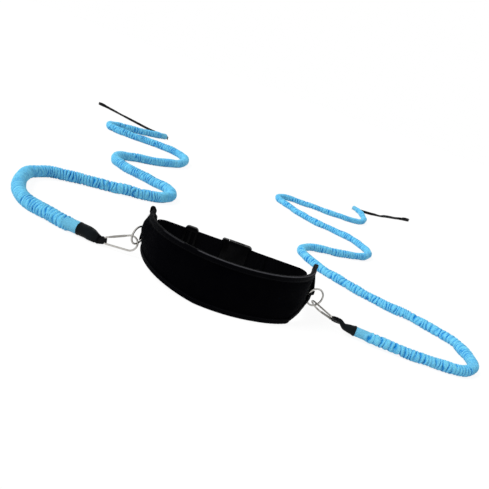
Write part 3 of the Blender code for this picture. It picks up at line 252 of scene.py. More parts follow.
def join_rings(name: str, rings: np.ndarray, around: np.ndarray, along: np.ndarray) -> Object:
    """Joins rings of points into a closed tube.

    Args:
        name: the piece's name.
        rings: the points, ring by ring.
        around: distance around a ring at each point, and at the first one again.
        along: distance along the tube at each ring.

    Returns:
        The closed mesh, with its UV map in metres: around, then along.
    """
    count, sides = rings.shape[:2]
    faces, uvs = [], []
    for i in range(count - 1):
        low, high = along[i], along[i + 1]
        for j in range(sides):
            k = (j + 1) % sides
            faces.append((i * sides + j, i * sides + k, (i + 1) * sides + k, (i + 1) * sides + j))
            uvs += [(around[j], low), (around[j + 1], low), (around[j + 1], high), (around[j], high)]
    first, last = list(range(sides))[::-1], [(count - 1) * sides + j for j in range(sides)]
    for cap, reach in ((first, along[0]), (last, along[-1])):
        faces.append(cap)
        uvs += [(around[number % sides], reach) for number in cap]
    return new_object(name, rings.reshape(-1, 3), faces, np.array(uvs))


def sweep(name: str, centres: np.ndarray, wides: np.ndarray, thicks: np.ndarray, profile: np.ndarray) -> Object:
    """Carries a closed profile along a line.

    Args:
        name: the piece's name.
        centres: the line, one point to each station.
        wides: the profile's first axis at each station.
        thicks: its second axis at each station.
        profile: rows of two lengths, the same for all stations or one set to each.

    Returns:
        The closed mesh, with its UV map in metres: around the profile, then along the line.
    """
    profile = np.asarray(profile, float)
    if profile.ndim == 2:
        profile = np.broadcast_to(profile, (len(centres), *profile.shape))
    rings = centres[:, None, :] + wides[:, None, :] * profile[:, :, :1] + thicks[:, None, :] * profile[:, :, 1:]
    loop = profile.mean(axis=0)
    return join_rings(name, rings, travelled(np.vstack((loop, loop[:1]))), travelled(centres))


def slab(name: str, columns: np.ndarray, rows: np.ndarray, front: Callable, back: Callable) -> Object:
    """A closed sheet between two surfaces over the same grid.

    Args:
        name: the piece's name.
        columns: grid positions along the sheet, in metres.
        rows: grid positions up the sheet, as shares.
        front: gives the points of the outer surface for columns and rows.
        back: the same for the inner surface.

    Returns:
        The closed mesh with its UV map in metres.
    """
    along, up = np.meshgrid(columns, rows, indexing="ij")
    wide, tall = along.shape
    outer, inner = front(along, up), back(along, up)
    verts = np.vstack((outer.reshape(-1, 3), inner.reshape(-1, 3)))
    flat = np.stack((along.ravel(), outer[..., 2].ravel()), axis=1)
    flat = np.vstack((flat, flat))
    offset = wide * tall
    faces = []
    for i in range(wide - 1):
        for j in range(tall - 1):
            a, b, c, d = i * tall + j, (i + 1) * tall + j, (i + 1) * tall + j + 1, i * tall + j + 1
            faces.append((a, b, c, d))
            faces.append((offset + d, offset + c, offset + b, offset + a))
    rim = [i * tall for i in range(wide)]
    rim += [(wide - 1) * tall + j for j in range(1, tall)]
    rim += [i * tall + tall - 1 for i in reversed(range(wide - 1))]
    rim += [j for j in reversed(range(1, tall - 1))]
    for first, second in zip(rim, rim[1:] + rim[:1]):
        faces.append((second, first, offset + first, offset + second))
    uvs = flat[np.concatenate([np.array(face) for face in faces])]
    return new_object(name, verts, faces, uvs)


def rounded_profile(width: float, thickness: float, edge: float, rows: int) -> np.ndarray:
    """A flat strip's cross-section with rounded edges, as rows of width and thickness positions."""
    half, thin = width / 2.0, thickness / 2.0
    edge = min(edge, thin * 0.98, half * 0.98)
    spots = []
    for x, y, start in ((1, 1, 0.0), (-1, 1, 90.0), (-1, -1, 180.0), (1, -1, 270.0)):
        for turn in (math.radians(start + 30.0 * step) for step in range(4)):
            spots.append((x * (half - edge) + edge * math.cos(turn), y * (thin - edge) + edge * math.sin(turn)))
        if start in (0.0, 180.0):
            spots += [(x * (half - edge) * (1.0 - 2.0 * row / rows), y * thin) for row in range(1, rows)]
    return np.array(spots)


def circle_profile(sides: int) -> np.ndarray:
    """A circle of radius one."""
    turns = 2.0 * math.pi * np.arange(sides) / sides
    return np.stack((np.cos(turns), np.sin(turns)), axis=1)


def strip_axes(centres: np.ndarray, acrosses: np.ndarray) -> tuple[np.ndarray, np.ndarray]:
    """Width and thickness directions of a strip that runs along a line, from rough width directions."""
    along = directions(centres)
    thick = unit(np.cross(along, acrosses))
    return unit(np.cross(thick, along)), thick


def add_values(piece: Object, name: str, values: np.ndarray) -> None:
    """Stores one number for each point of a mesh, for its material to read."""
    layer = piece.data.attributes.new(name, "FLOAT", "POINT")
    layer.data.foreach_set("value", np.asarray(values, np.float32).ravel())


def select_only(piece: Object) -> None:
    """Selects one object and makes it active."""
    for other in bpy.context.view_layer.objects:
        if other.select_get():
            other.select_set(False)
    piece.select_set(True)
    bpy.context.view_layer.objects.active = piece


def apply_modifiers(piece: Object) -> None:
    """Applies all modifiers of a piece in order."""
    select_only(piece)
    for name in [modifier.name for modifier in piece.modifiers]:
        bpy.ops.object.modifier_apply(modifier=name)


def settle(piece: Object, place: Matrix) -> Object:
    """Moves a piece's mesh to its place and leaves its object at the origin."""
    select_only(piece)
    piece.matrix_world = place @ piece.matrix_world
    bpy.ops.object.transform_apply(location=True, rotation=True, scale=True)
    return piece


def cut_away(piece: Object, cutters: Sequence[Object], operation: str = "DIFFERENCE") -> None:
    """Cuts cutters out of a piece, or joins them to it, and removes them."""
    for cutter in cutters:
        modifier = piece.modifiers.new(cutter.name, "BOOLEAN")
        modifier.operation = operation
        modifier.object = cutter
        modifier.solver = "EXACT"
    apply_modifiers(piece)
    if not piece.data.polygons:
        raise ValueError(f"{piece.name} is empty after its cut")
    for cutter in cutters:
        bpy.data.objects.remove(cutter, do_unlink=True)


def bevel_edges(piece: Object, offset: float, segments: int, chosen: Callable[[Vector, Vector], bool]) -> None:
    """Bevels the edges that are chosen by the places of their two ends."""
    select_only(piece)
    bpy.ops.object.mode_set(mode="EDIT")
    bpy.ops.mesh.select_mode(type="EDGE")
    bpy.ops.mesh.select_all(action="DESELECT")
    bpy.ops.object.mode_set(mode="OBJECT")
    verts = piece.data.vertices
    for line in piece.data.edges:
        line.select = chosen(*(verts[number].co for number in line.vertices))
    bpy.ops.object.mode_set(mode="EDIT")
    bpy.ops.mesh.bevel(offset=offset, segments=segments, affect="EDGES")
    bpy.ops.object.mode_set(mode="OBJECT")


def add_basic(operator: Callable, name: str, **settings: object) -> Object:
    """Adds one of the basic meshes under a name."""
    bpy.ops.object.select_all(action="DESELECT")
    operator(**settings)
    made = bpy.context.object
    made.name = made.data.name = name
    return made


def add_box(name: str, low: Sequence[float], high: Sequence[float]) -> Object:
    """A box between two corners."""
    low_corner, high_corner = Vector(low), Vector(high)
    centre = (low_corner + high_corner) / 2.0
    made = add_basic(bpy.ops.mesh.primitive_cube_add, name, size=1.0, location=centre)
    made.scale = high_corner - low_corner
    bpy.ops.object.transform_apply(location=True, rotation=True, scale=True)
    return made


def add_rod(
    name: str, radius: float, start: Sequence[float], end: Sequence[float], sides: int = 24, edge: float = 0.0
) -> Object:
    """A round rod between two points, with its end edges bevelled."""
    first, last = Vector(start), Vector(end)
    axis = last - first
    made = add_basic(bpy.ops.mesh.primitive_cylinder_add, name, vertices=sides, radius=radius, depth=axis.length)
    if edge:
        bevel_edges(made, edge, 3, lambda one, other: abs(one.z - other.z) < SAME_PLACE)
    turn = Vector(UP).rotation_difference(axis).to_matrix().to_4x4()
    return settle(made, Matrix.Translation((first + last) / 2.0) @ turn)


def shade_by_angle(piece: Object, degrees: float) -> None:
    """Shades a piece smooth, apart from its sharp corners."""
    select_only(piece)
    bpy.ops.object.shade_smooth_by_angle(angle=math.radians(degrees))


class StitchRow:
    """Thread stitches laid along lines, gathered into one piece."""

    def __init__(self, length: float = 0.0024, pitch: float = 0.0033, radius: float = 0.00032) -> None:
        """Sets the stitch's length, the step from one to the next and the thread's radius."""
        self.length, self.pitch, self.radius = length, pitch, radius
        self.spots: list[np.ndarray] = []
        self.runs: list[np.ndarray] = []
        self.outs: list[np.ndarray] = []

    def follow(self, line: np.ndarray, outs: np.ndarray) -> None:
        """Adds stitches along a line, whose outward directions are given at its points."""
        reach = travelled(line)
        count = max(int(reach[-1] / self.pitch), 1)
        distances = (np.arange(count) + 0.5) * reach[-1] / count
        self.spots.append(at_distances(line, distances))
        self.runs.append(unit(at_distances(line, distances + 0.0004) - at_distances(line, distances - 0.0004)))
        rows = [np.interp(distances, reach, np.broadcast_to(outs, line.shape)[:, axis]) for axis in range(3)]
        self.outs.append(unit(np.stack(rows, axis=1)))

    def box(self, first: float, last: float, runs: int, steps: int, lay: Callable) -> None:
        """Adds the runs of a box stitch and its diagonals.

        Args:
            first: where the box starts.
            last: where it ends.
            runs: how many of its seven runs are sewn.
            steps: how many samples each run gets.
            lay: gives a run's line and outward directions, from places along the box and heights from -1 to 1.
        """
        corners = [(first, -1), (last, -1), (last, 1), (first, 1), (first, -1), (last, 1), (last, -1), (first, 1)]
        share = np.linspace(0.0, 1.0, steps)
        for one, other in list(zip(corners, corners[1:]))[:runs]:
            self.follow(*lay(*(low + (high - low) * share for low, high in zip(one, other))))

    def build(self, name: str) -> Object:
        """Copies one small stitch to every place.

        Args:
            name: the piece's name.

        Returns:
            The piece with all the stitches.
        """
        pattern = add_basic(
            bpy.ops.mesh.primitive_uv_sphere_add, "stitch_pattern", segments=6, ring_count=4, radius=1.0
        )
        base = np.array([vert.co for vert in pattern.data.vertices])
        shapes = [tuple(face.vertices) for face in pattern.data.polygons]
        bpy.data.objects.remove(pattern, do_unlink=True)
        spots, runs, outs = np.vstack(self.spots), np.vstack(self.runs), np.vstack(self.outs)
        sides = unit(np.cross(runs, outs))
        outs = np.cross(sides, runs)
        verts = (
            spots[:, None, :]
            + runs[:, None, :] * (base[None, :, 2:] * self.length / 2.0)
            + sides[:, None, :] * (base[None, :, :1] * self.radius)
            + outs[:, None, :] * (base[None, :, 1:2] * self.radius * 0.8)
        )
        count = len(base)
        faces = [tuple(number + count * i for number in shape) for i in range(len(spots)) for shape in shapes]
        return new_object(name, verts.reshape(-1, 3), faces)


# Finishes
def linear(red: float, green: float, blue: float) -> tuple[float, float, float, float]:
    """A colour in the scene's linear light from its 0 to 255 values on a screen."""
    channels = []
    for value in (red, green, blue):
        share = value / 255.0
        channels.append(share / 12.92 if share <= 0.04045 else ((share + 0.055) / 1.055) ** 2.4)
    return (*channels, 1.0)


class Bench:
    """Builds the nodes of one shader tree."""

    def __init__(self, tree: NodeTree) -> None:
        """Starts on a tree."""
        self.tree = tree

    def node(self, kind: str, **settings: object) -> Node:
        """Adds a shader node with some settings."""
        made = self.tree.nodes.new("ShaderNode" + kind)
        for name, value in settings.items():
            setattr(made, name, value)
        return made

    def feed(self, socket: NodeSocket, value: object) -> None:
        """Links an output to a socket, or writes a plain value on it."""
        if isinstance(value, NodeSocket):
            self.tree.links.new(value, socket)
        else:
            socket.default_value = value

    def fill(self, node: Node, **values: object) -> Node:
        """Feeds a node's inputs by their names, with underscores for the blanks."""
        for name, value in values.items():
            self.feed(node.inputs[name.replace("_", " ")], value)
        return node

    def math(self, operation: str, *values: object, clamp: bool = False) -> NodeSocket:
        """One step of arithmetic."""
        step = self.node("Math", operation=operation, use_clamp=clamp)
        for socket, value in zip(step.inputs, values):
            self.feed(socket, value)
        return step.outputs[0]

    def wave(self, value: object) -> NodeSocket:
        """Rounded ridges from 0 to 1, one to each whole step of a value."""
        return self.math("ABSOLUTE", self.math("SINE", self.math("MULTIPLY", value, math.pi)))

    def mix(self, share: object, first: object, second: object) -> NodeSocket:
        """A colour between two."""
        step = self.node("Mix", data_type="RGBA")
        for socket, value in zip((0, 6, 7), (share, first, second)):
            self.feed(step.inputs[socket], value)
        return step.outputs[2]

    def remap(self, value: object, low: float, high: float, to_low: float = 0.0, to_high: float = 1.0) -> NodeSocket:
        """A number moved from one range to another and kept inside it."""
        step = self.node("MapRange", clamp=True)
        for socket, number in zip(step.inputs, (value, low, high, to_low, to_high)):
            self.feed(socket, number)
        return step.outputs[0]

    def noise(self, vector: object, scale: object, detail: float = 2.0, roughness: float = 0.5) -> NodeSocket:
        """Smooth noise about one half."""
        step = self.node("TexNoise")
        return self.fill(step, Vector=vector, Scale=scale, Detail=detail, Roughness=roughness).outputs["Fac"]

    def object_place(self) -> NodeSocket:
        """The point's place on the piece."""
        return self.node("TexCoord").outputs["Object"]

    def flat_place(self) -> NodeSocket:
        """The point's place on the piece's own UV map, in metres."""
        return self.node("UVMap", uv_map="UVMap").outputs["UV"]

    def stored(self, name: str) -> NodeSocket:
        """A number stored on the piece's points."""
        return self.node("Attribute", attribute_name=name).outputs["Fac"]

    def group(self, tree: NodeTree, place: NodeSocket, **values: object) -> Sequence[NodeSocket]:
        """Places a shared group, fills its inputs and returns its outputs."""
        return self.fill(self.node("Group", node_tree=tree), Place=place, **values).outputs


class SharedEffects:
    """Shader groups that more than one finish uses."""

    def __init__(self) -> None:
        """Builds every group once."""
        self.weave = self._weave()
        self.ribs = self._ribs()
        self.grain = self._grain()
        self.scratches = self._scratches()
        self.lint = self._lint()

    @staticmethod
    def _start(name: str, outputs: Sequence[str], **inputs: float) -> tuple[Bench, Sequence[NodeSocket], Node]:
        """Makes a group that takes a place and some numbers, and returns its bench and its two ends."""
        tree = bpy.data.node_groups.new(name, "ShaderNodeTree")
        tree.interface.new_socket("Place", in_out="INPUT", socket_type="NodeSocketVector")
        for title, value in inputs.items():
            tree.interface.new_socket(title, in_out="INPUT", socket_type="NodeSocketFloat").default_value = value
        for title in outputs:
            tree.interface.new_socket(title, in_out="OUTPUT", socket_type="NodeSocketFloat")
        return Bench(tree), tree.nodes.new("NodeGroupInput").outputs, tree.nodes.new("NodeGroupOutput")

    def _weave(self) -> NodeTree:
        """Plain weave: threads that pass over and under each other."""
        bench, given, end = self._start("plain_weave", ("Height",), Thread=0.0008)
        parts = bench.fill(bench.node("SeparateXYZ"), Vector=given["Place"]).outputs
        x, y = (bench.math("DIVIDE", parts[axis], given["Thread"]) for axis in range(2))
        total = bench.math("ADD", bench.math("FLOOR", x), bench.math("FLOOR", y))
        over = bench.math("ABSOLUTE", bench.math("MODULO", total, 2.0))
        under = bench.math("SUBTRACT", 1.0, over)
        warp, weft = (bench.math("MULTIPLY", bench.wave(run), side) for run, side in ((x, over), (y, under)))
        bench.fill(end, Height=bench.math("ADD", warp, weft))
        return bench.tree

    def _ribs(self) -> NodeTree:
        """Webbing: slanting ribs that change direction in stripes along the strap."""
        bench, given, end = self._start("webbing_ribs", ("Height",), Rib=0.0016, Stripe=0.006)
        parts = bench.fill(bench.node("SeparateXYZ"), Vector=given["Place"]).outputs
        lean = bench.math("PINGPONG", bench.math("DIVIDE", parts[0], given["Stripe"]), 1.0)
        slope = bench.math("MULTIPLY", lean, given["Stripe"])
        run = bench.math("DIVIDE", bench.math("ADD", parts[1], slope), given["Rib"])
        bench.fill(end, Height=bench.math("POWER", bench.wave(run), 0.6))
        return bench.tree

    def _grain(self) -> NodeTree:
        """Fine moulded grain with slow patches in it."""
        bench, given, end = self._start("moulded_grain", ("Height", "Patches"), Scale=1200.0)
        fine = bench.noise(given["Place"], given["Scale"], 3.0)
        bench.fill(end, Height=fine, Patches=bench.noise(given["Place"], 45.0, 3.0, 0.6))
        return bench.tree

    def _scratches(self) -> NodeTree:
        """Hairline scratches and rubbed patches on metal."""
        bench, given, end = self._start("metal_rubs", ("Mask", "Height", "Tarnish"), Amount=0.5)
        stretch = bench.node("Mapping", vector_type="TEXTURE")
        bench.fill(stretch, Vector=given["Place"], Rotation=(0.5, 0.3, 0.7), Scale=(0.05, 1.0, 1.0))
        lines = bench.noise(stretch.outputs[0], 900.0, 2.0, 0.6)
        mask = bench.math("MULTIPLY", bench.remap(lines, 0.60, 0.72), given["Amount"])
        patches = bench.noise(given["Place"], 90.0, 4.0, 0.65)
        bench.fill(end, Mask=mask, Height=lines, Tarnish=bench.remap(patches, 0.45, 0.75))
        return bench.tree

    def _lint(self) -> NodeTree:
        """Fibre fuzz and uneven dye on cloth."""
        bench, given, end = self._start("cloth_unevenness", ("Dye", "Fuzz"))
        dye, fuzz = bench.noise(given["Place"], 28.0, 4.0, 0.6), bench.noise(given["Place"], 2400.0, 2.0, 0.7)
        bench.fill(end, Dye=bench.remap(dye, 0.3, 0.7), Fuzz=fuzz)
        return bench.tree


def start_material(name: str) -> tuple[Material, Bench, Node]:
    """A new material with its bench and its main shader."""
    made = bpy.data.materials.new(name)
    made.use_nodes = True
    return made, Bench(made.node_tree), made.node_tree.nodes["Principled BSDF"]


def bump(bench: Bench, shader: Node, height: object, distance: float) -> None:
    """Raises the surface's relief by a height from 0 to 1 over a distance."""
    relief = bench.fill(bench.node("Bump"), Distance=distance, Strength=1.0, Height=height)
    bench.fill(shader, Normal=relief.outputs[0])


def unevenness(bench: Bench, shared: SharedEffects, shader: Node, low: float, high: float) -> Sequence[NodeSocket]:
    """Roughens a cloth between two values and returns its uneven dye and its fuzz."""
    lint = bench.group(shared.lint, bench.object_place())
    bench.fill(shader, Roughness=bench.remap(lint["Fuzz"], 0.3, 0.7, low, high))
    return lint["Dye"], lint["Fuzz"]


@dataclass(frozen=True)
class Finish:
    """What most finishes have: a name, a colour and a second colour that real wear brings, which on some finishes also
    carries painted light: the edge tape's painted highlight, the painted highlight on weave and rib crests and the base
    of the metal's painted dark flanks.
    """

    name: str
    colour: Colour
    wear_and_painted_light: Colour


@dataclass(frozen=True)
class ClothFinish(Finish):
    """Black woven cloth of the belt."""

    thread: float = 0.0009
    relief: float = 0.00018
    roughness: float = 0.78

    def material(self, shared: SharedEffects) -> Material:
        """Builds the material from the shared weave and unevenness, with a painted highlight on the weave's thread
        crests.
        """
        made, bench, shader = start_material(self.name)
        weave = bench.group(shared.weave, bench.flat_place(), Thread=self.thread)["Height"]
        dye, _ = unevenness(bench, shared, shader, self.roughness - 0.08, self.roughness + 0.08)
        # Share of the second colour: the dye's real unevenness, plus a painted highlight where the weave's threads
        # crest.
        wear_and_painted_light = bench.math("ADD", bench.math("MULTIPLY", dye, 0.6), bench.math("MULTIPLY", weave, 0.25), clamp=True)
        bench.fill(shader, Base_Color=bench.mix(wear_and_painted_light, self.colour, self.wear_and_painted_light), Specular_IOR_Level=0.01)
        bench.fill(shader, Sheen_Weight=0.002, Sheen_Roughness=0.45)
        bump(bench, shader, weave, self.relief)
        return made


@dataclass(frozen=True)
class TapeFinish(Finish):
    """Satin binding tape, with a painted highlight along its fold where the highlight's range is set."""

    highlight_low: float = 0.0
    highlight_high: float = 0.0

    def material(self, shared: SharedEffects) -> Material:
        """Builds the material: fine cross ribs, uneven dye and the painted highlight along the fold."""
        made, bench, shader = start_material(self.name)
        ribs = bench.group(shared.ribs, bench.flat_place(), Rib=0.0009, Stripe=0.5)["Height"]
        dye, _ = unevenness(bench, shared, shader, 0.50, 0.64)
        highlighted = self.highlight_high > self.highlight_low
        colour = bench.mix(bench.math("MULTIPLY", dye, 0.02 if highlighted else 0.5), self.colour, self.wear_and_painted_light)
        if highlighted:
            # The stored painted light sets where the painted highlight shows along the fold.
            inside = bench.remap(bench.stored("painted_light"), self.highlight_low, self.highlight_high)
            colour = bench.mix(inside, colour, self.wear_and_painted_light)
        bench.fill(shader, Base_Color=colour, Specular_IOR_Level=0.015, Sheen_Weight=0.002, Sheen_Roughness=0.4)
        bump(bench, shader, ribs, 0.00014)
        return made


@dataclass(frozen=True)
class WebbingFinish(Finish):
    """Woven strap webbing."""

    rib: float = 0.0017
    stripe: float = 0.0060
    relief: float = 0.00035
    roughness: float = 0.62
    specular: float = 0.02

    def material(self, shared: SharedEffects) -> Material:
        """Builds the material: slanting ribs, with a painted highlight on their crests."""
        made, bench, shader = start_material(self.name)
        ribs = bench.group(shared.ribs, bench.flat_place(), Rib=self.rib, Stripe=self.stripe)["Height"]
        dye, _ = unevenness(bench, shared, shader, self.roughness - 0.07, self.roughness + 0.1)
        # Painted highlight on the rib crests, mixed with the dye's real unevenness.
        share = bench.math("ADD", bench.math("MULTIPLY", ribs, 0.45), bench.math("MULTIPLY", dye, 0.35), clamp=True)
        bench.fill(shader, Base_Color=bench.mix(share, self.colour, self.wear_and_painted_light), Specular_IOR_Level=self.specular)
        bench.fill(shader, Sheen_Weight=0.004, Sheen_Roughness=0.4)
        bump(bench, shader, ribs, self.relief)
        return made


@dataclass(frozen=True)
class SleeveFinish:
    """Sky blue nylon, gathered over the rubber: a painted highlight on the crests, painted shade in the creases and a
    flat pale band at the ends.
    """

    name: str = "ruched_sky_blue_nylon"
    # crest is the painted highlight colour of the gathers' crests, crease the painted shade colour of their creases.
    crest: Colour = linear(124, 219, 255)
    crease: Colour = linear(0, 140, 222)
    band: Colour = linear(112, 194, 230)
    thread: float = 0.0007
    relief: float = 0.00012

    def material(self, shared: SharedEffects) -> Material:
        """Builds the material from the stored painted light of the folds, the weave and the dye's unevenness."""
        made, bench, shader = start_material(self.name)
        weave = bench.group(shared.weave, bench.flat_place(), Thread=self.thread)["Height"]
        dye, fuzz = unevenness(bench, shared, shader, 0.55, 0.72)
        # Painted light: highlight colour on the crests, shade colour in the creases, from the stored share.
        painted_lit_share = bench.remap(bench.math("ADD", bench.stored("painted_light"), bench.math("MULTIPLY", dye, 0.18)), 0.20, 1.02)
        gathered = bench.mix(painted_lit_share, self.crease, self.crest)
        banded = bench.mix(bench.math("MULTIPLY", dye, 0.35), self.band, self.crest)
        bench.fill(shader, Base_Color=bench.mix(bench.stored("gather"), banded, gathered), Specular_IOR_Level=0.25)
        bench.fill(shader, Sheen_Weight=0.05, Sheen_Roughness=0.4)
        bump(bench, shader, bench.math("ADD", weave, bench.math("MULTIPLY", fuzz, 0.6)), self.relief)
        return made


@dataclass(frozen=True)
class MetalFinish(Finish):
    """Plated or plain steel with hairline scratches, duller, warmer patches and painted shade on its flanks, darker
    where the surface turns away from the view.
    """

    roughness: float = 0.2
    # flank: how dark the painted shade on the flanks gets.
    flank: float = 0.0

    def material(self, shared: SharedEffects) -> Material:
        """Builds the material from the shared rubs."""
        made, bench, shader = start_material(self.name)
        rubs = bench.group(shared.scratches, bench.object_place(), Amount=0.5)
        colour = bench.mix(bench.math("MULTIPLY", rubs["Tarnish"], 0.55), self.colour, self.wear_and_painted_light)
        # Painted shade: the flanks that turn away from the view are darkened towards a dark copy of the second colour.
        if self.flank:
            turned = bench.node("LayerWeight").outputs["Facing"]
            flank = tuple(channel * 0.18 for channel in self.wear_and_painted_light[:3]) + (1.0,)
            colour = bench.mix(bench.remap(turned, 0.25, 0.85, 0.0, self.flank), colour, flank)
        dull = bench.remap(rubs["Tarnish"], 0.0, 1.0, self.roughness, self.roughness + 0.16)
        rough = bench.math("ADD", dull, bench.math("MULTIPLY", rubs["Mask"], 0.2))
        bench.fill(shader, Base_Color=colour, Roughness=rough, Metallic=1.0)
        bump(bench, shader, rubs["Height"], 0.00002)
        return made


@dataclass(frozen=True)
class MouldedFinish(Finish):
    """Moulded plastic or rubber with a fine grain and rubbed patches."""

    roughness: float = 0.36
    scale: float = 1400.0
    relief: float = 0.00005
    specular: float = 0.4

    def material(self, shared: SharedEffects) -> Material:
        """Builds the material from the shared grain."""
        made, bench, shader = start_material(self.name)
        grain = bench.group(shared.grain, bench.object_place(), Scale=self.scale)
        colour = bench.mix(bench.remap(grain["Patches"], 0.42, 0.72, 0.0, 0.7), self.colour, self.wear_and_painted_light)
        rough = bench.remap(grain["Patches"], 0.3, 0.7, self.roughness - 0.05, self.roughness + 0.12)
        bench.fill(shader, Base_Color=colour, Roughness=rough, Specular_IOR_Level=self.specular)
        bump(bench, shader, grain["Height"], self.relief)
        return made


class Wardrobe:
    """Every finish of the trainer, built once."""

    def __init__(self) -> None:
        """Builds the shared effects and the materials."""
        shared = SharedEffects()
        self.cover = ClothFinish("black_cover_nylon", linear(0, 0, 2), linear(4, 4, 6)).material(shared)
        self.lining = ClothFinish(
            "brushed_lining", linear(1, 1, 2), linear(7, 7, 9), thread=0.0014, relief=0.00022, roughness=0.9
        ).material(shared)
        self.tape = TapeFinish("black_binding_tape", linear(1, 1, 3), linear(6, 6, 9)).material(shared)
        # The edge tape's second colour, linear(70, 70, 74), is its painted highlight, shown along the fold between 0.35
        # and 0.95 of the stored painted light.
        self.edge_tape = TapeFinish(
            "binding_tape_with_painted_highlight", linear(1, 1, 3), linear(70, 70, 74), 0.35, 0.95
        ).material(shared)
        self.webbing = WebbingFinish("black_webbing", linear(1, 1, 3), linear(10, 10, 13)).material(shared)
        self.fine_webbing = WebbingFinish(
            "fine_black_webbing", linear(2, 2, 4), linear(16, 16, 19), rib=0.0013, stripe=0.0045, relief=0.00025,
            roughness=0.45, specular=0.08,
        ).material(shared)  # fmt: skip
        self.thread = MouldedFinish(
            "black_thread", linear(8, 8, 11), linear(22, 22, 26), roughness=0.6, scale=3000.0, relief=0.00003,
            specular=0.08,
        ).material(shared)  # fmt: skip
        self.foam = MouldedFinish(
            "grey_foam", linear(112, 112, 114), linear(128, 128, 130), roughness=0.9, scale=900.0, relief=0.0003,
            specular=0.1,
        ).material(shared)  # fmt: skip
        self.nickel = MetalFinish(
            "nickel_wire", (0.52, 0.505, 0.48, 1.0), (0.27, 0.255, 0.23, 1.0), flank=0.7
        ).material(shared)
        self.gate = MetalFinish(
            "turned_gate_nickel", (0.33, 0.32, 0.30, 1.0), (0.20, 0.19, 0.175, 1.0), 0.28, flank=0.7
        ).material(shared)
        self.steel = MetalFinish(
            "plain_steel", (0.34, 0.33, 0.32, 1.0), (0.20, 0.19, 0.18, 1.0), roughness=0.34
        ).material(shared)
        self.aluminium = MetalFinish(
            "crimped_aluminium", (0.60, 0.60, 0.60, 1.0), (0.42, 0.42, 0.42, 1.0), roughness=0.4
        ).material(shared)
        self.plastic = MouldedFinish(
            "black_acetal", linear(2, 2, 3), linear(9, 9, 10), specular=0.06
        ).material(shared)
        self.cuff = MouldedFinish(
            "black_cuff_rubber", linear(4, 8, 11), linear(20, 26, 30), roughness=0.5, scale=1000.0, relief=0.00012,
            specular=0.10,
        ).material(shared)  # fmt: skip
        self.rubber = MouldedFinish(
            "latex_cord", linear(196, 181, 148), linear(178, 160, 124), roughness=0.55, relief=0.00006
        ).material(shared)
        self.sleeve = SleeveFinish().material(shared)


def finish_piece(
    piece: Object, material: Material, body: str, slot: Slot, *nodes: str
) -> Object:
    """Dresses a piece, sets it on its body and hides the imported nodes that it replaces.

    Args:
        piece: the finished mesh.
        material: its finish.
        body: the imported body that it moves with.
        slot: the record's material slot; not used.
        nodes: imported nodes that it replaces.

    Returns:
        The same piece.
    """
    piece.data.materials.clear()
    piece.data.materials.append(material)
    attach(piece, body)
    if nodes:
        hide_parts(*nodes)
    LOG.info("%s: %d faces, on %s", piece.name, len(piece.data.polygons), body)
    return piece


def dress_node(node: Object, material: Material) -> None:
    """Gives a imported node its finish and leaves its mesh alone."""
    if not node.material_slots:
        node.data.materials.append(material)
    for place in node.material_slots:
        place.link = "OBJECT"
        place.material = material
    LOG.info("%s keeps its solid", node.name)


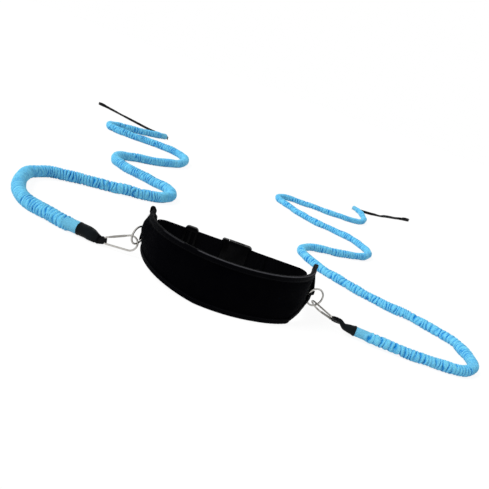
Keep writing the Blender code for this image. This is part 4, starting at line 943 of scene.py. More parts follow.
# The belt
@dataclass
class BeltOutline:
    """The belt seen from above: half of an ellipse, then two ears that flare outwards."""

    half_width: float = 0.166
    half_depth: float = 0.145
    flank_y: float = 0.050
    ear_length: float = 0.036
    ear_flare: float = 0.007
    twist_start: float = 0.2455
    twist_levels: Lengths = (0.030, 0.045, 0.060, 0.075, 0.085, 0.0965)
    left_twist: Lengths = (-0.002, -0.006, -0.0095, -0.0060, 0.0050, 0.0210)
    right_twist: Lengths = (0.0130, 0.0105, 0.0060, 0.0, -0.0015, -0.0010)
    bulge_levels: Lengths = (0.015, 0.030, 0.045, 0.060, 0.075, 0.085, 0.0965)
    left_bulge: Lengths = (0.0, 0.0020, 0.0064, 0.0100, 0.0088, 0.0050, 0.0015)
    bulge_place: float = 0.222
    bulge_reach: tuple[float, float] = (0.028, 0.015)
    hem_places: Lengths = (0.080, 0.150, 0.170, 0.205, 0.225, 0.250, 0.2814)
    hem_flares: Lengths = (0.0, 0.0042, 0.0036, 0.0020, 0.0035, 0.0100, 0.0120)
    hem_height: float = 0.046
    hem_fade: float = 0.020
    left_power: float = 1.3
    right_power: float = 1.7
    steps: int = 600
    rows: np.ndarray = field(init=False, repr=False)
    half_length: float = field(init=False)

    def __post_init__(self) -> None:
        """Tabulates the right half: distance, place and direction."""
        turns = np.linspace(0.0, math.pi / 2.0, self.steps + 1)
        curve = np.stack((self.half_width * np.sin(turns), self.flank_y - self.half_depth * np.cos(turns)), axis=1)
        along = unit(np.stack((self.half_width * np.cos(turns), self.half_depth * np.sin(turns)), axis=1))
        share = np.linspace(0.0, 1.0, self.steps // 4 + 1)[1:]
        ear = np.stack(
            (self.half_width + self.ear_flare * share**2, self.flank_y + self.ear_length * share), axis=1
        )
        ear_along = unit(np.stack((2.0 * self.ear_flare * share, np.full_like(share, self.ear_length)), axis=1))
        spots, runs = np.vstack((curve, ear)), np.vstack((along, ear_along))
        self.rows = np.column_stack((travelled(spots), spots, runs))
        self.half_length = float(self.rows[-1, 0])

    def at(self, distance: np.ndarray | float) -> tuple[np.ndarray, np.ndarray, np.ndarray]:
        """Place, direction and outward direction at signed distances from the front's middle."""
        distance = np.asarray(distance, float)
        side = np.where(distance < 0.0, -1.0, 1.0)
        reach = np.minimum(np.abs(distance), self.half_length)
        x, y, run_x, run_y = (np.interp(reach, self.rows[:, 0], self.rows[:, i]) for i in range(1, 5))
        length = np.hypot(run_x, run_y)
        run_x, run_y = run_x / length, run_y / length
        flat = np.zeros_like(x)
        spot = np.stack((side * x, y, flat), axis=-1) + SHIFT
        along = np.stack((run_x, side * run_y, flat), axis=-1)
        outward = np.stack((side * run_y, -run_x, flat), axis=-1)
        return spot, along, outward

    def distance_at_y(self, y: float) -> float:
        """Distance along the right half at which the outline reaches a depth."""
        return float(self.rows[np.argmax(self.rows[:, 2] >= y), 0])

    def spread(self, distance: np.ndarray | float, height: np.ndarray | float) -> np.ndarray:
        """How far the soft panel leaves the outline outwards: at its left end and at its right end's lower corner."""
        distance, height = np.asarray(distance, float), np.asarray(height, float)
        share = np.clip((np.abs(distance) - self.twist_start) / (self.half_length - self.twist_start), 0.0, 1.0)
        left = np.interp(height, self.twist_levels, self.left_twist) * share**self.left_power
        off = np.abs(distance) - self.bulge_place
        ridge = np.exp(-((off / np.where(off < 0.0, *self.bulge_reach)) ** 2))
        left = left + np.interp(height, self.bulge_levels, self.left_bulge) * ridge
        right = np.interp(height, self.twist_levels, self.right_twist) * share**self.right_power
        low = smoothstep((self.hem_height - height) / self.hem_fade)
        hem = np.interp(distance, self.hem_places, self.hem_flares) * low
        return np.where(distance < 0.0, left, np.maximum(right, hem))

    def point(self, distance: np.ndarray | float, depth: np.ndarray | float, height: np.ndarray | float) -> np.ndarray:
        """A point inwards from the panel's outer face by a depth, at a height."""
        spot, _, outward = self.at(distance)
        depth = np.asarray(depth, float) - self.spread(distance, height)
        return spot - outward * depth[..., None] + UP * np.asarray(height, float)[..., None]


@dataclass
class PaddedPanel:
    """The front panel: cover, padding, lining, folded tape round its edges and the rows of stitches."""

    outline: BeltOutline
    height: float = 0.093
    ear_top: float = 0.0965
    ear_drop: float = 0.004
    left_top_places: Lengths = (0.236, 0.248, 0.255, 0.2585, 0.2635, 0.2814)
    left_top_rises: Lengths = (0.0, 0.0006, 0.0026, 0.0030, -0.0015, -0.0210)
    ear_swell: float = 0.0025
    ear_bottom: float = 0.030
    level_half: float = 0.156
    left_level_half: float = 0.030
    climb_power: float = 0.6
    left_climb_power: float = 1.1
    drop_start: float = 0.250
    swell_place: float = -0.262
    swell_reach: float = 0.0075
    swell_top: float = 0.090
    swell_bottom: float = 0.036
    pucker_depth: float = 0.00035
    pucker_reach: float = 0.007
    fold_depth: float = 0.0005
    crease_place: tuple[float, float] = (-0.155, 0.074)
    crease_slope: float = 0.30
    crease_half: float = 0.0022
    crease_depth: float = 0.0005
    wrinkle_depth: float = 0.00025
    tape_wave: float = 0.00012
    seam_inset: float = 0.0020
    # Strength of the painted highlight along the top tape's fold, at places along the panel.
    highlight_places: Lengths = (-0.150, -0.130, -0.084, -0.078, -0.060, -0.050, 0.215, 0.235)
    highlight_levels: Lengths = (0.0, 0.62, 0.62, 0.1, 0.1, 1.0, 1.0, 0.3)
    shell: float = 0.0012
    lining: float = 0.0010
    foam_edge: float = 0.0020
    foam_crown: float = 0.0080
    crown_fade: float = 0.022
    tape: float = 0.0010
    leg: float = 0.0093
    billow: float = 0.0013
    columns: int = 260
    rows: int = 44

    def __post_init__(self) -> None:
        """Works out the sizes that follow from others."""
        self.step = self.tape + SEAT_GAP
        self.fabric_end = self.outline.half_length - self.step
        self.crown_start = self.leg + SEAT_GAP
        self.edge_depth = self.shell + self.foam_edge + self.lining + 2.0 * SEAT_GAP
        self.ripple = Ripple(SEED, 0.05, 0.22, 9, 2)
        self.pucker = Ripple(SEED + 1, 0.007, 0.016, 10, 0)

    def bottom(self, distance: np.ndarray) -> np.ndarray:
        """Height of the panel's lower edge."""
        distance = np.asarray(distance, float)
        level_half = np.where(distance < 0.0, self.left_level_half, self.level_half)
        past = np.maximum(np.abs(distance) - level_half, 0.0) / (self.outline.half_length - level_half)
        return self.ear_bottom * past ** np.where(distance < 0.0, self.left_climb_power, self.climb_power)

    def top(self, distance: np.ndarray) -> np.ndarray:
        """Height of the panel's upper edge."""
        distance = np.asarray(distance, float)
        rise = (self.ear_top - self.height) * (distance / self.outline.half_length) ** 2
        share = np.clip((np.abs(distance) - self.drop_start) / (self.outline.half_length - self.drop_start), 0.0, 1.0)
        left = np.interp(-distance, self.left_top_places, self.left_top_rises)
        return self.height + rise + np.where(distance < 0.0, left, -self.ear_drop * share**2)

    def heights(self, distance: np.ndarray, share: np.ndarray) -> tuple[np.ndarray, np.ndarray]:
        """Height at a share of the fabric, and the distance from there to the nearest edge."""
        low, high = self.bottom(distance) + self.step, self.top(distance) - self.step
        height = low + (high - low) * share
        edge = np.minimum(np.minimum(height - low, high - height), self.fabric_end - np.abs(distance))
        return height, edge

    def crown(self, distance: np.ndarray, edge: np.ndarray) -> np.ndarray:
        """Thickness of the padding: thin under the tape, full in the middle."""
        rise = smoothstep((edge - self.crown_start) / 0.021)
        fade = np.clip((self.fabric_end - self.crown_start - np.abs(distance)) / self.crown_fade, 0.0, 1.0)
        return self.foam_edge + (self.foam_crown - self.foam_edge) * rise * smoothstep(fade)

    def swell(self, distance: np.ndarray, height: np.ndarray) -> np.ndarray:
        """How far the left ear's padding swells inwards above the strap's corner."""
        across = np.exp(-(((distance - self.swell_place) / self.swell_reach) ** 2))
        before_tape = smoothstep((self.fabric_end - self.leg - np.abs(distance)) / 0.004)
        upright = smoothstep((self.swell_top - height) / 0.016) * smoothstep((height - self.swell_bottom) / 0.012)
        return self.ear_swell * across * before_tape * upright

    def cover_depth(self, distance: np.ndarray, height: np.ndarray, edge: np.ndarray) -> np.ndarray:
        """How far the cover stands out from the outline, as a negative depth."""
        past_tape = smoothstep((edge - self.leg) / 0.016)
        fade = np.exp(-np.maximum(edge - self.leg, 0.0) / self.pucker_reach)
        puckers = self.pucker_depth * self.pucker.at(distance) * fade
        flank = smoothstep((np.abs(distance) - 0.13) / 0.08)
        folds = self.fold_depth * self.ripple.at(distance + 0.6 * height, 9.0 * height) * (0.4 + 0.9 * flank)
        lean = (distance - self.crease_place[0]) * self.crease_slope + (height - self.crease_place[1])
        along_crease = smoothstep((0.065 - np.abs(distance + 0.125)) / 0.02)
        crease = -self.crease_depth * np.exp(-((lean / self.crease_half) ** 2)) * along_crease
        rise = (self.billow + folds + crease) * past_tape + puckers * smoothstep((edge - self.leg) / 0.001)
        return -np.maximum(rise, -0.0002)

    def foam_depth(self, distance: np.ndarray, height: np.ndarray, edge: np.ndarray) -> np.ndarray:
        """How deep the padding's inner face lies."""
        return self.shell + SEAT_GAP + self.crown(distance, edge) + self.swell(distance, height)

    def lining_depth(self, distance: np.ndarray, height: np.ndarray, edge: np.ndarray) -> np.ndarray:
        """How deep the lining's outer face lies, with its wrinkles."""
        wrinkle = self.wrinkle_depth * self.ripple.at(distance * 1.7 + 0.3, 14.0 * height)
        past_tape = smoothstep((edge - self.leg) / 0.012)
        padding = self.crown(distance, edge) + self.swell(distance, height)
        return self.shell + 2.0 * SEAT_GAP + padding + np.maximum(wrinkle, 0.0) * past_tape

    def surface(self, depth: Callable, *further: float) -> Callable:
        """The points of a sheet's face, from its depth and what is added to that."""

        def points(distance: np.ndarray, share: np.ndarray) -> np.ndarray:
            """Points of the face over a grid."""
            height, edge = self.heights(distance, share)
            total = depth(distance, height, edge)
            for step in further:
                total = total + step
            return self.outline.point(distance, total, height)

        return points

    def build(self, wardrobe: Wardrobe) -> None:
        """Makes and dresses the cloth, the padding, the tapes and the stitches."""
        far, cover = self.fabric_end, self.cover_depth
        fine = np.linspace(-far, far, self.columns + 1), np.linspace(0.0, 1.0, self.rows + 1)
        coarse = np.linspace(-far, far, 131), np.linspace(0.0, 1.0, 25)
        piece = slab("front_cover", *fine, self.surface(cover), self.surface(cover, self.shell))
        finish_piece(piece, wardrobe.cover, "belt", Slot.SHELL, "front_panel_shell")
        under = self.surface(cover, self.shell, SEAT_GAP)
        padding = slab("panel_padding", *coarse, under, self.surface(self.foam_depth))
        finish_piece(padding, wardrobe.foam, "belt", Slot.FOAM, "panel_foam")
        inner = self.surface(self.lining_depth), self.surface(self.lining_depth, self.lining)
        piece = slab("inner_lining", *(grid[::2] for grid in fine), *inner)
        finish_piece(piece, wardrobe.lining, "belt", Slot.LINING, "panel_lining")
        self._bind(wardrobe)

    def tape_profile(self) -> tuple[np.ndarray, np.ndarray]:
        """The folded tape's cross-section, as depth and reach, and how near each point is to the fold, which places the
        painted highlight.
        """
        low, high = -self.step, self.edge_depth + self.step
        round_off, inner_round, start = 0.0026, 0.0016, -self.leg
        in_depth, in_reach = np.array((round_off, 0.0)), np.array((0.0, round_off))
        top = self.step - round_off
        outer = [(low, start), (low, start * 0.6), (low, top)]
        outer += list(arc(np.array((low + round_off, top)), -in_depth, in_reach, 0.0, math.pi / 2.0, 5))[1:]
        outer += list(arc(np.array((high - round_off, top)), in_reach, in_depth, 0.0, math.pi / 2.0, 5))
        outer += [(high, start * 0.6), (high, start)]
        inner_low, inner_high, ceiling = low + self.tape, high - self.tape, self.step - self.tape
        inner = [(inner_high, start), (inner_high, ceiling - inner_round), (inner_high - inner_round, ceiling)]
        inner += [(inner_low + inner_round, ceiling), (inner_low, ceiling - inner_round), (inner_low, start)]
        rows = np.array(outer + inner)
        spots = np.array(outer)
        # Near the fold's outer corner: where the painted highlight goes.
        near = smoothstep((spots[:, 1] + 0.0010) / 0.0016) * smoothstep((0.0016 - spots[:, 0]) / 0.0014)
        near = np.concatenate((near, np.zeros(len(inner))))
        return rows, near

    def _bind(self, wardrobe: Wardrobe) -> None:
        """Folds tape over the four edges and sews it down."""
        profile, fold_highlight = self.tape_profile()
        length = self.outline.half_length
        spread = np.linspace(-length, length, 241)
        _, along, outward = self.outline.at(spread)
        wave = self.tape_wave * self.pucker.at(spread * 1.3)[:, None]
        rows = (("top", self.top(spread) - self.step, 1.0), ("bottom", self.bottom(spread) + self.step, -1.0))
        for name, heights, direction in rows:
            slope = np.gradient(heights, spread)[:, None]
            upright = unit(UP - along * slope) * direction
            centres = self.outline.point(spread, 0.0, heights) + outward * wave
            piece = sweep(name + "_edge_tape", centres, -outward, upright, profile)
            if name == "top":
                # Painted highlight along the top tape's fold, fading along the panel.
                highlight_strength = np.interp(spread, self.highlight_places, self.highlight_levels)
                add_values(piece, "painted_light", (fold_highlight[None, :] * highlight_strength[:, None]).ravel())
                finish_piece(piece, wardrobe.edge_tape, "belt", Slot.PALE_BINDING, "top_edge_binding")
            else:
                finish_piece(piece, wardrobe.tape, "belt", Slot.DARK_BINDING, "bottom_edge_binding")
        low = self.ear_bottom + self.step + self.leg + SEAT_GAP
        for hand in Hand:
            high = float(self.top(hand.sign * self.fabric_end)) - self.step - self.leg - SEAT_GAP
            levels = np.linspace(low, high, 15)
            _, run, out = self.outline.at(hand.sign * self.fabric_end)
            centres = self.outline.point(hand.sign * self.fabric_end, 0.0, levels)
            depth_axis = np.broadcast_to(-out, centres.shape)
            past_axis = np.broadcast_to(run * hand.sign, centres.shape)
            piece = sweep(hand.value + "_end_tape", centres, depth_axis, past_axis, profile)
            finish_piece(piece, wardrobe.tape, "belt", Slot.DARK_BINDING, hand.value + "_end_binding")
        self._sew(wardrobe)

    def _sew(self, wardrobe: Wardrobe) -> None:
        """Lays the rows of stitches that hold the tape on both faces."""
        row = StitchRow()
        length = self.outline.half_length - self.leg * 0.4
        spread = np.linspace(-length, length, 400)
        _, _, outward = self.outline.at(spread)
        inset = self.leg - self.seam_inset
        for heights in (self.top(spread) - self.step - inset, self.bottom(spread) + self.step + inset):
            for depth, sign in ((-self.step, 1.0), (self.edge_depth + self.step, -1.0)):
                row.follow(self.outline.point(spread, depth, heights), outward * sign)
        low = self.ear_bottom + self.step + self.leg + self.seam_inset
        for hand in Hand:
            high = float(self.top(hand.sign * self.fabric_end)) - self.step - self.leg - self.seam_inset
            levels = np.linspace(low, high, 30)
            distance = hand.sign * (self.fabric_end - inset)
            _, _, out = self.outline.at(distance)
            for depth, sign in ((-self.step, 1.0), (self.edge_depth + self.step, -1.0)):
                row.follow(self.outline.point(distance, depth, levels), out * sign)
        finish_piece(row.build("tape_stitches"), wardrobe.thread, "belt", Slot.DARK_BINDING)


# Rings and hooks
@dataclass
class HookPlace:
    """Where one side's ring, hook and cuff are, and how they are turned."""

    hand: Hand
    joints: dict[str, dict]
    outline: BeltOutline
    ring_turn: float
    along: tuple[float, float, float]
    across: tuple[float, float, float]
    cord_start: tuple[float, float]
    start_turn: float
    sleeve_height: float = 0.014

    def __post_init__(self) -> None:
        """Reads the hinges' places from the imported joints."""
        name = self.hand.value
        self.ring_pivot = np.array(self.joints[name + "_ring_swing"]["pos_m"])
        self.hook_pivot = np.array(self.joints[name + "_hook_swing"]["pos_m"])
        along = unit(np.array(self.along))
        across = np.array(self.across)
        self.across_axis = unit(across - along * (across @ along))
        self.along_axis = along
        self.face_axis = np.cross(along, self.across_axis)
        self.start = np.array((*self.cord_start, self.sleeve_height)) + SHIFT
        self.direction = np.array((math.cos(self.start_turn), math.sin(self.start_turn), 0.0))
        line = self.start - self.hook_pivot
        self.outward = unit(line - self.across_axis * (line @ self.across_axis))

    def hook_matrix(self) -> Matrix:
        """Takes the hook's own axes to its place."""
        turn = Matrix([self.along_axis, self.across_axis, self.face_axis]).transposed().to_4x4()
        return Matrix.Translation(self.hook_pivot) @ turn


@dataclass
class SewnRing:
    """A welded ring and the webbing loop that holds it on the belt's flank."""

    place: HookPlace
    radius: float = 0.018
    wire: float = 0.0019
    ring_y: float = 0.047
    webbing: float = 0.0015
    width: float = 0.016
    bore: float = 0.0046
    sewn_leg: float = 0.011
    shoulder: float = 0.0014
    lie: float = 0.0018
    weld_reach: float = 0.0045
    weld_swell: float = 0.16
    seam_inset: float = 0.0020
    seam_start: float = 0.0012

    def build(self, wardrobe: Wardrobe) -> None:
        """Makes and dresses the ring, its loop and the loop's stitches."""
        hand = self.place.hand
        ring = add_basic(
            bpy.ops.mesh.primitive_torus_add, hand.value + "_welded_ring", major_segments=96, minor_segments=20,
            major_radius=self.radius, minor_radius=self.wire, location=(self.radius, 0.0, 0.0),
        )  # fmt: skip
        bpy.ops.object.transform_apply(location=True, rotation=True, scale=True)
        self._raise_weld(ring)
        turn = Matrix.Rotation(self.place.ring_turn, 4, "Z") @ Matrix.Rotation(math.pi / 2.0, 4, "X")
        settle(ring, Matrix.Translation(self.place.ring_pivot) @ turn)
        ring.data.shade_smooth()
        finish_piece(ring, wardrobe.nickel, hand.value + "_ring_body", Slot.NICKEL, hand.value + "_ring")
        self._loop(wardrobe)

    def _raise_weld(self, ring: Object) -> None:
        """Swells the wire a little at the weld, next to the loop."""
        weld = Vector((self.radius * 0.25, self.radius * 0.66, 0.0))
        for vert in ring.data.vertices:
            near = max(1.0 - (vert.co - weld).length / self.weld_reach, 0.0)
            middle = Vector((vert.co.x - self.radius, vert.co.y, 0.0)).normalized() * self.radius
            middle.x += self.radius
            vert.co = middle + (vert.co - middle) * (1.0 + self.weld_swell * smoothstep(near * 2.0).item())

    def _loop(self, wardrobe: Wardrobe) -> None:
        """Bends the webbing round the ring's wire and sews its two legs to the flank."""
        place, hand, outline = self.place, self.place.hand, self.outline
        middle = hand.sign * outline.distance_at_y(self.ring_y)
        _, run, out = outline.at(middle)
        radius = self.bore + self.webbing / 2.0
        lie = self.lie + self.webbing / 2.0
        start = radius + self.shoulder
        steps = np.linspace(self.sewn_leg, 0.0, 9) + start
        level = place.ring_pivot[2]
        back = outline.point(middle - hand.sign * steps, -lie, level)
        fore = outline.point(middle + hand.sign * steps[::-1], -lie, level)
        towards = run * hand.sign
        bow = arc(place.ring_pivot, -towards * radius, out * radius, 0.0, math.pi, 16)
        line = np.vstack((back, bow, fore))
        line = at_distances(line, np.linspace(0.0, travelled(line)[-1], 70))
        acrosses, thicks = strip_axes(line, np.broadcast_to(UP, line.shape))
        profile = rounded_profile(self.width, self.webbing, 0.0006, 4)
        loop = sweep(hand.value + "_ring_webbing", line, acrosses, thicks, profile)
        finish_piece(loop, wardrobe.webbing, "belt", Slot.WEBBING, hand.value + "_ring_loop")
        row = StitchRow(length=0.0022, pitch=0.0029, radius=0.00034)
        surface = lie + self.webbing / 2.0
        for sign in (-hand.sign, hand.sign):

            def lay(reach: np.ndarray, rise: np.ndarray) -> tuple[np.ndarray, np.ndarray]:
                """One run on the webbing's outer face, and its outward directions."""
                distance = middle + sign * reach
                sewn = outline.point(distance, -surface, level)
                sewn[:, 2] = level + (self.width / 2.0 - self.seam_inset) * rise
                return sewn, outline.at(distance)[2]

            row.box(start + self.seam_start, start + self.sewn_leg - self.seam_start, 5, 12, lay)
        finish_piece(row.build(hand.value + "_ring_stitches"), wardrobe.thread, "belt", Slot.WEBBING)

    @property
    def outline(self) -> BeltOutline:
        """The belt's outline."""
        return self.place.outline


@dataclass
class SnapHook:
    """A pear-shaped wire snap hook with its sprung gate, modelled along X and then set in place."""

    place: HookPlace
    wire: float = 0.0019
    narrow_half: float = 0.0065
    corner: float = 0.0030
    wide_radius: float = 0.0145
    centre_distance: float = 0.041
    gate_radius: float = 0.0023
    hinge_at: float = 0.0075
    nose_at: float = 0.0385
    tongue_reach: float = 0.0026
    tongue_step: float = 0.0038
    tongue_thickness: float = 0.0020
    fork_depth: float = 0.0036
    fork_slot: float = 0.0026
    nose_reach: float = 0.0030
    hinge_stops: Lengths = (0.0010, -0.0010, -0.0024)
    nose_stops: Lengths = (0.0030, 0.0012, 0.0005, -0.0010)
    flat_margins: Lengths = (0.0006, 0.001, 0.001, 0.0003)
    open_side: float = 0.002
    gate_back: float = 0.0026
    gate_edge: float = 0.0004
    pin_edge: float = 0.0005
    pin_radius: float = 0.0009
    pin_half: float = 0.0026
    head_radius: float = 0.0014
    head_flat: float = 0.42
    head_place: float = 0.0024
    spring_start: float = 0.0039
    spring_length: float = 0.0094
    spring_turns: float = 11.0
    spring_radius: float = 0.00078
    spring_wire: float = 0.00018

    def side_line(self) -> tuple[np.ndarray, np.ndarray, float]:
        """Start and direction of the hook's straight side, and the angle at which its arcs meet it."""
        corner = np.array((self.corner, self.narrow_half - self.corner, 0.0))
        wide = np.array((self.narrow_half + self.centre_distance, 0.0, 0.0))
        between = wide - corner
        lean = math.acos((self.corner - self.wide_radius) / float(np.linalg.norm(between)))
        turn = math.atan2(between[1], between[0]) + lean
        outward = np.array((math.cos(turn), math.sin(turn), 0.0))
        start, end = corner + outward * self.corner, wide + outward * self.wide_radius
        return start, unit(end - start), turn

    def build(self, wardrobe: Wardrobe) -> list[Object]:
        """Makes and dresses the wire body, the gate, its spring and its pin.

        Returns:
            The pieces, which hang on the end of the cord.
        """
        hand, matrix = self.place.hand, self.place.hook_matrix()
        start, along, turn = self.side_line()
        hinge, nose = start + along * self.hinge_at, start + along * self.nose_at
        turned = Matrix.Rotation(math.atan2(along[1], along[0]), 4, "Z")
        hinged = matrix @ (Matrix.Translation(hinge) @ turned)
        hook_body, gate_body = hand.value + "_hook_body", hand.value + "_gate_body"
        body = settle(self._wire(hand.value + "_snap_hook", start, along, turn, hinge, nose), matrix)
        finish_piece(body, wardrobe.nickel, hook_body, Slot.NICKEL, hand.value + "_hook")
        gate = settle(self._gate(hand.value + "_sprung_gate"), hinged)
        shade_by_angle(gate, 40.0)
        finish_piece(gate, wardrobe.gate, gate_body, Slot.NICKEL, hand.value + "_hook_gate")
        pin = settle(self._pin(hand.value + "_hinge_pin"), hinged)
        finish_piece(pin, wardrobe.steel, hook_body, Slot.PIN, hand.value + "_gate_pin")
        spring = settle(self._spring(hand.value + "_coil_spring"), hinged)
        finish_piece(spring, wardrobe.steel, gate_body, Slot.PIN, hand.value + "_gate_spring")
        return [body, gate, pin, spring]

    def _wire(
        self, name: str, start: np.ndarray, along: np.ndarray, turn: float, hinge: np.ndarray, nose: np.ndarray
    ) -> Object:
        """Bends the wire round its two ends and presses its tips flat.

        Args:
            name: the piece's name.
            start: where the straight side starts.
            along: the straight side's direction.
            turn: the angle at which the arcs meet it.
            hinge: the gate's hinge.
            nose: where the gate closes.

        Returns:
            The wire as a mesh.
        """
        lower = np.array((1.0, -1.0, 1.0))
        corner = np.array((self.corner, self.narrow_half - self.corner, 0.0))
        wide = np.array((self.narrow_half + self.centre_distance, 0.0, 0.0))
        corner_x, corner_y = np.array((self.corner, 0.0, 0.0)), np.array((0.0, self.corner, 0.0))
        wide_x, wide_y = np.array((self.wide_radius, 0.0, 0.0)), np.array((0.0, self.wide_radius, 0.0))
        tip, step = hinge + along * self.tongue_reach, hinge - along * self.tongue_step
        line = np.vstack((
            tip, *(hinge + along * stop for stop in self.hinge_stops), step,
            arc(corner, corner_x, corner_y, turn, math.pi, 9),
            arc(corner * lower, corner_x, corner_y, math.pi, 2.0 * math.pi - turn, 9),
            hermite([self._low_side(0.25), self._low_side(0.75)], 6),
            arc(wide, wide_x, wide_y, -turn, turn, 40),
            *(nose + along * stop for stop in self.nose_stops), nose - along * self.nose_reach,
        ))  # fmt: skip
        curve = bpy.data.curves.new(name, "CURVE")
        curve.dimensions = "3D"
        curve.bevel_depth = self.wire
        curve.bevel_resolution = 7
        curve.use_fill_caps = True
        spline = curve.splines.new("POLY")
        spline.points.add(len(line) - 1)
        for spot, point in zip(spline.points, line):
            spot.co = (*point, 1.0)
        select_only(link_new(name, curve))
        bpy.ops.object.convert(target="MESH")
        made = bpy.context.object
        bpy.ops.object.mode_set(mode="EDIT")
        bpy.ops.mesh.select_all(action="SELECT")
        bpy.ops.mesh.remove_doubles(threshold=0.00001)
        bpy.ops.mesh.normals_make_consistent(inside=False)
        bpy.ops.mesh.select_all(action="DESELECT")
        bpy.ops.object.mode_set(mode="OBJECT")
        half, (hinge_before, hinge_after, nose_before, nose_after) = self.tongue_thickness / 2.0, self.flat_margins
        for vert in made.data.vertices:
            run = float((np.array(vert.co) - start) @ along)
            behind, ahead = self.hinge_at - self.tongue_step, self.hinge_at + self.tongue_reach
            near_hinge = behind + hinge_before <= run <= ahead + hinge_after
            near_nose = self.nose_at - self.nose_reach - nose_before <= run <= self.nose_at + nose_after
            if vert.co.y > self.open_side and (near_hinge or near_nose):
                vert.co.z = max(min(vert.co.z, half), -half)
        made.data.shade_smooth()
        shade_by_angle(made, 50.0)
        return made

    def _low_side(self, share: float) -> np.ndarray:
        """A point of the closed straight side."""
        start, along, _ = self.side_line()
        return (start + along * self.centre_distance * share) * np.array((1.0, -1.0, 1.0))

    def _gate(self, name: str) -> Object:
        """Turns the round gate and mills the slots at its two ends."""
        end = self.nose_at - self.hinge_at
        gate = add_rod(name, self.gate_radius, (-self.gate_back, 0.0, 0.0), (end, 0.0, 0.0), 32, self.gate_edge)
        half, past = self.fork_slot / 2.0, 0.004
        fork = add_box("fork_cutter", (-0.01, -past, -half), (self.fork_depth, past, half))
        notch = add_box("nose_cutter", (end - self.fork_depth, -past, -half), (end + 0.01, past, half))
        cut_away(gate, [fork, notch])
        return gate

    def _pin(self, name: str) -> Object:
        """A rivet with domed heads."""
        low, high = (0.0, 0.0, -self.pin_half), (0.0, 0.0, self.pin_half)
        pin = add_rod(name, self.pin_radius, low, high, 20, self.pin_edge)
        heads = []
        for sign in (-1.0, 1.0):
            head = add_basic(
                bpy.ops.mesh.primitive_uv_sphere_add, "pin_head", segments=20, ring_count=10, radius=self.head_radius
            )
            head.scale = (1.0, 1.0, self.head_flat)
            head.location = (0.0, 0.0, sign * self.head_place)
            bpy.ops.object.transform_apply(location=True, rotation=True, scale=True)
            heads.append(head)
        cut_away(pin, heads, "UNION")
        shade_by_angle(pin, 50.0)
        return pin

    def _spring(self, name: str) -> Object:
        """The coil spring inside the gate."""
        turns = np.linspace(0.0, 2.0 * math.pi * self.spring_turns, 200)
        run, coil = self.spring_start + self.spring_length * turns / turns[-1], self.spring_radius
        line = np.stack((run, coil * np.cos(turns), coil * np.sin(turns)), axis=1)
        along = directions(line)
        outs = unit(np.stack((np.zeros_like(turns), np.cos(turns), np.sin(turns)), axis=1))
        sides = unit(np.cross(along, outs))
        return sweep(name, line, outs, sides, circle_profile(6) * self.spring_wire)


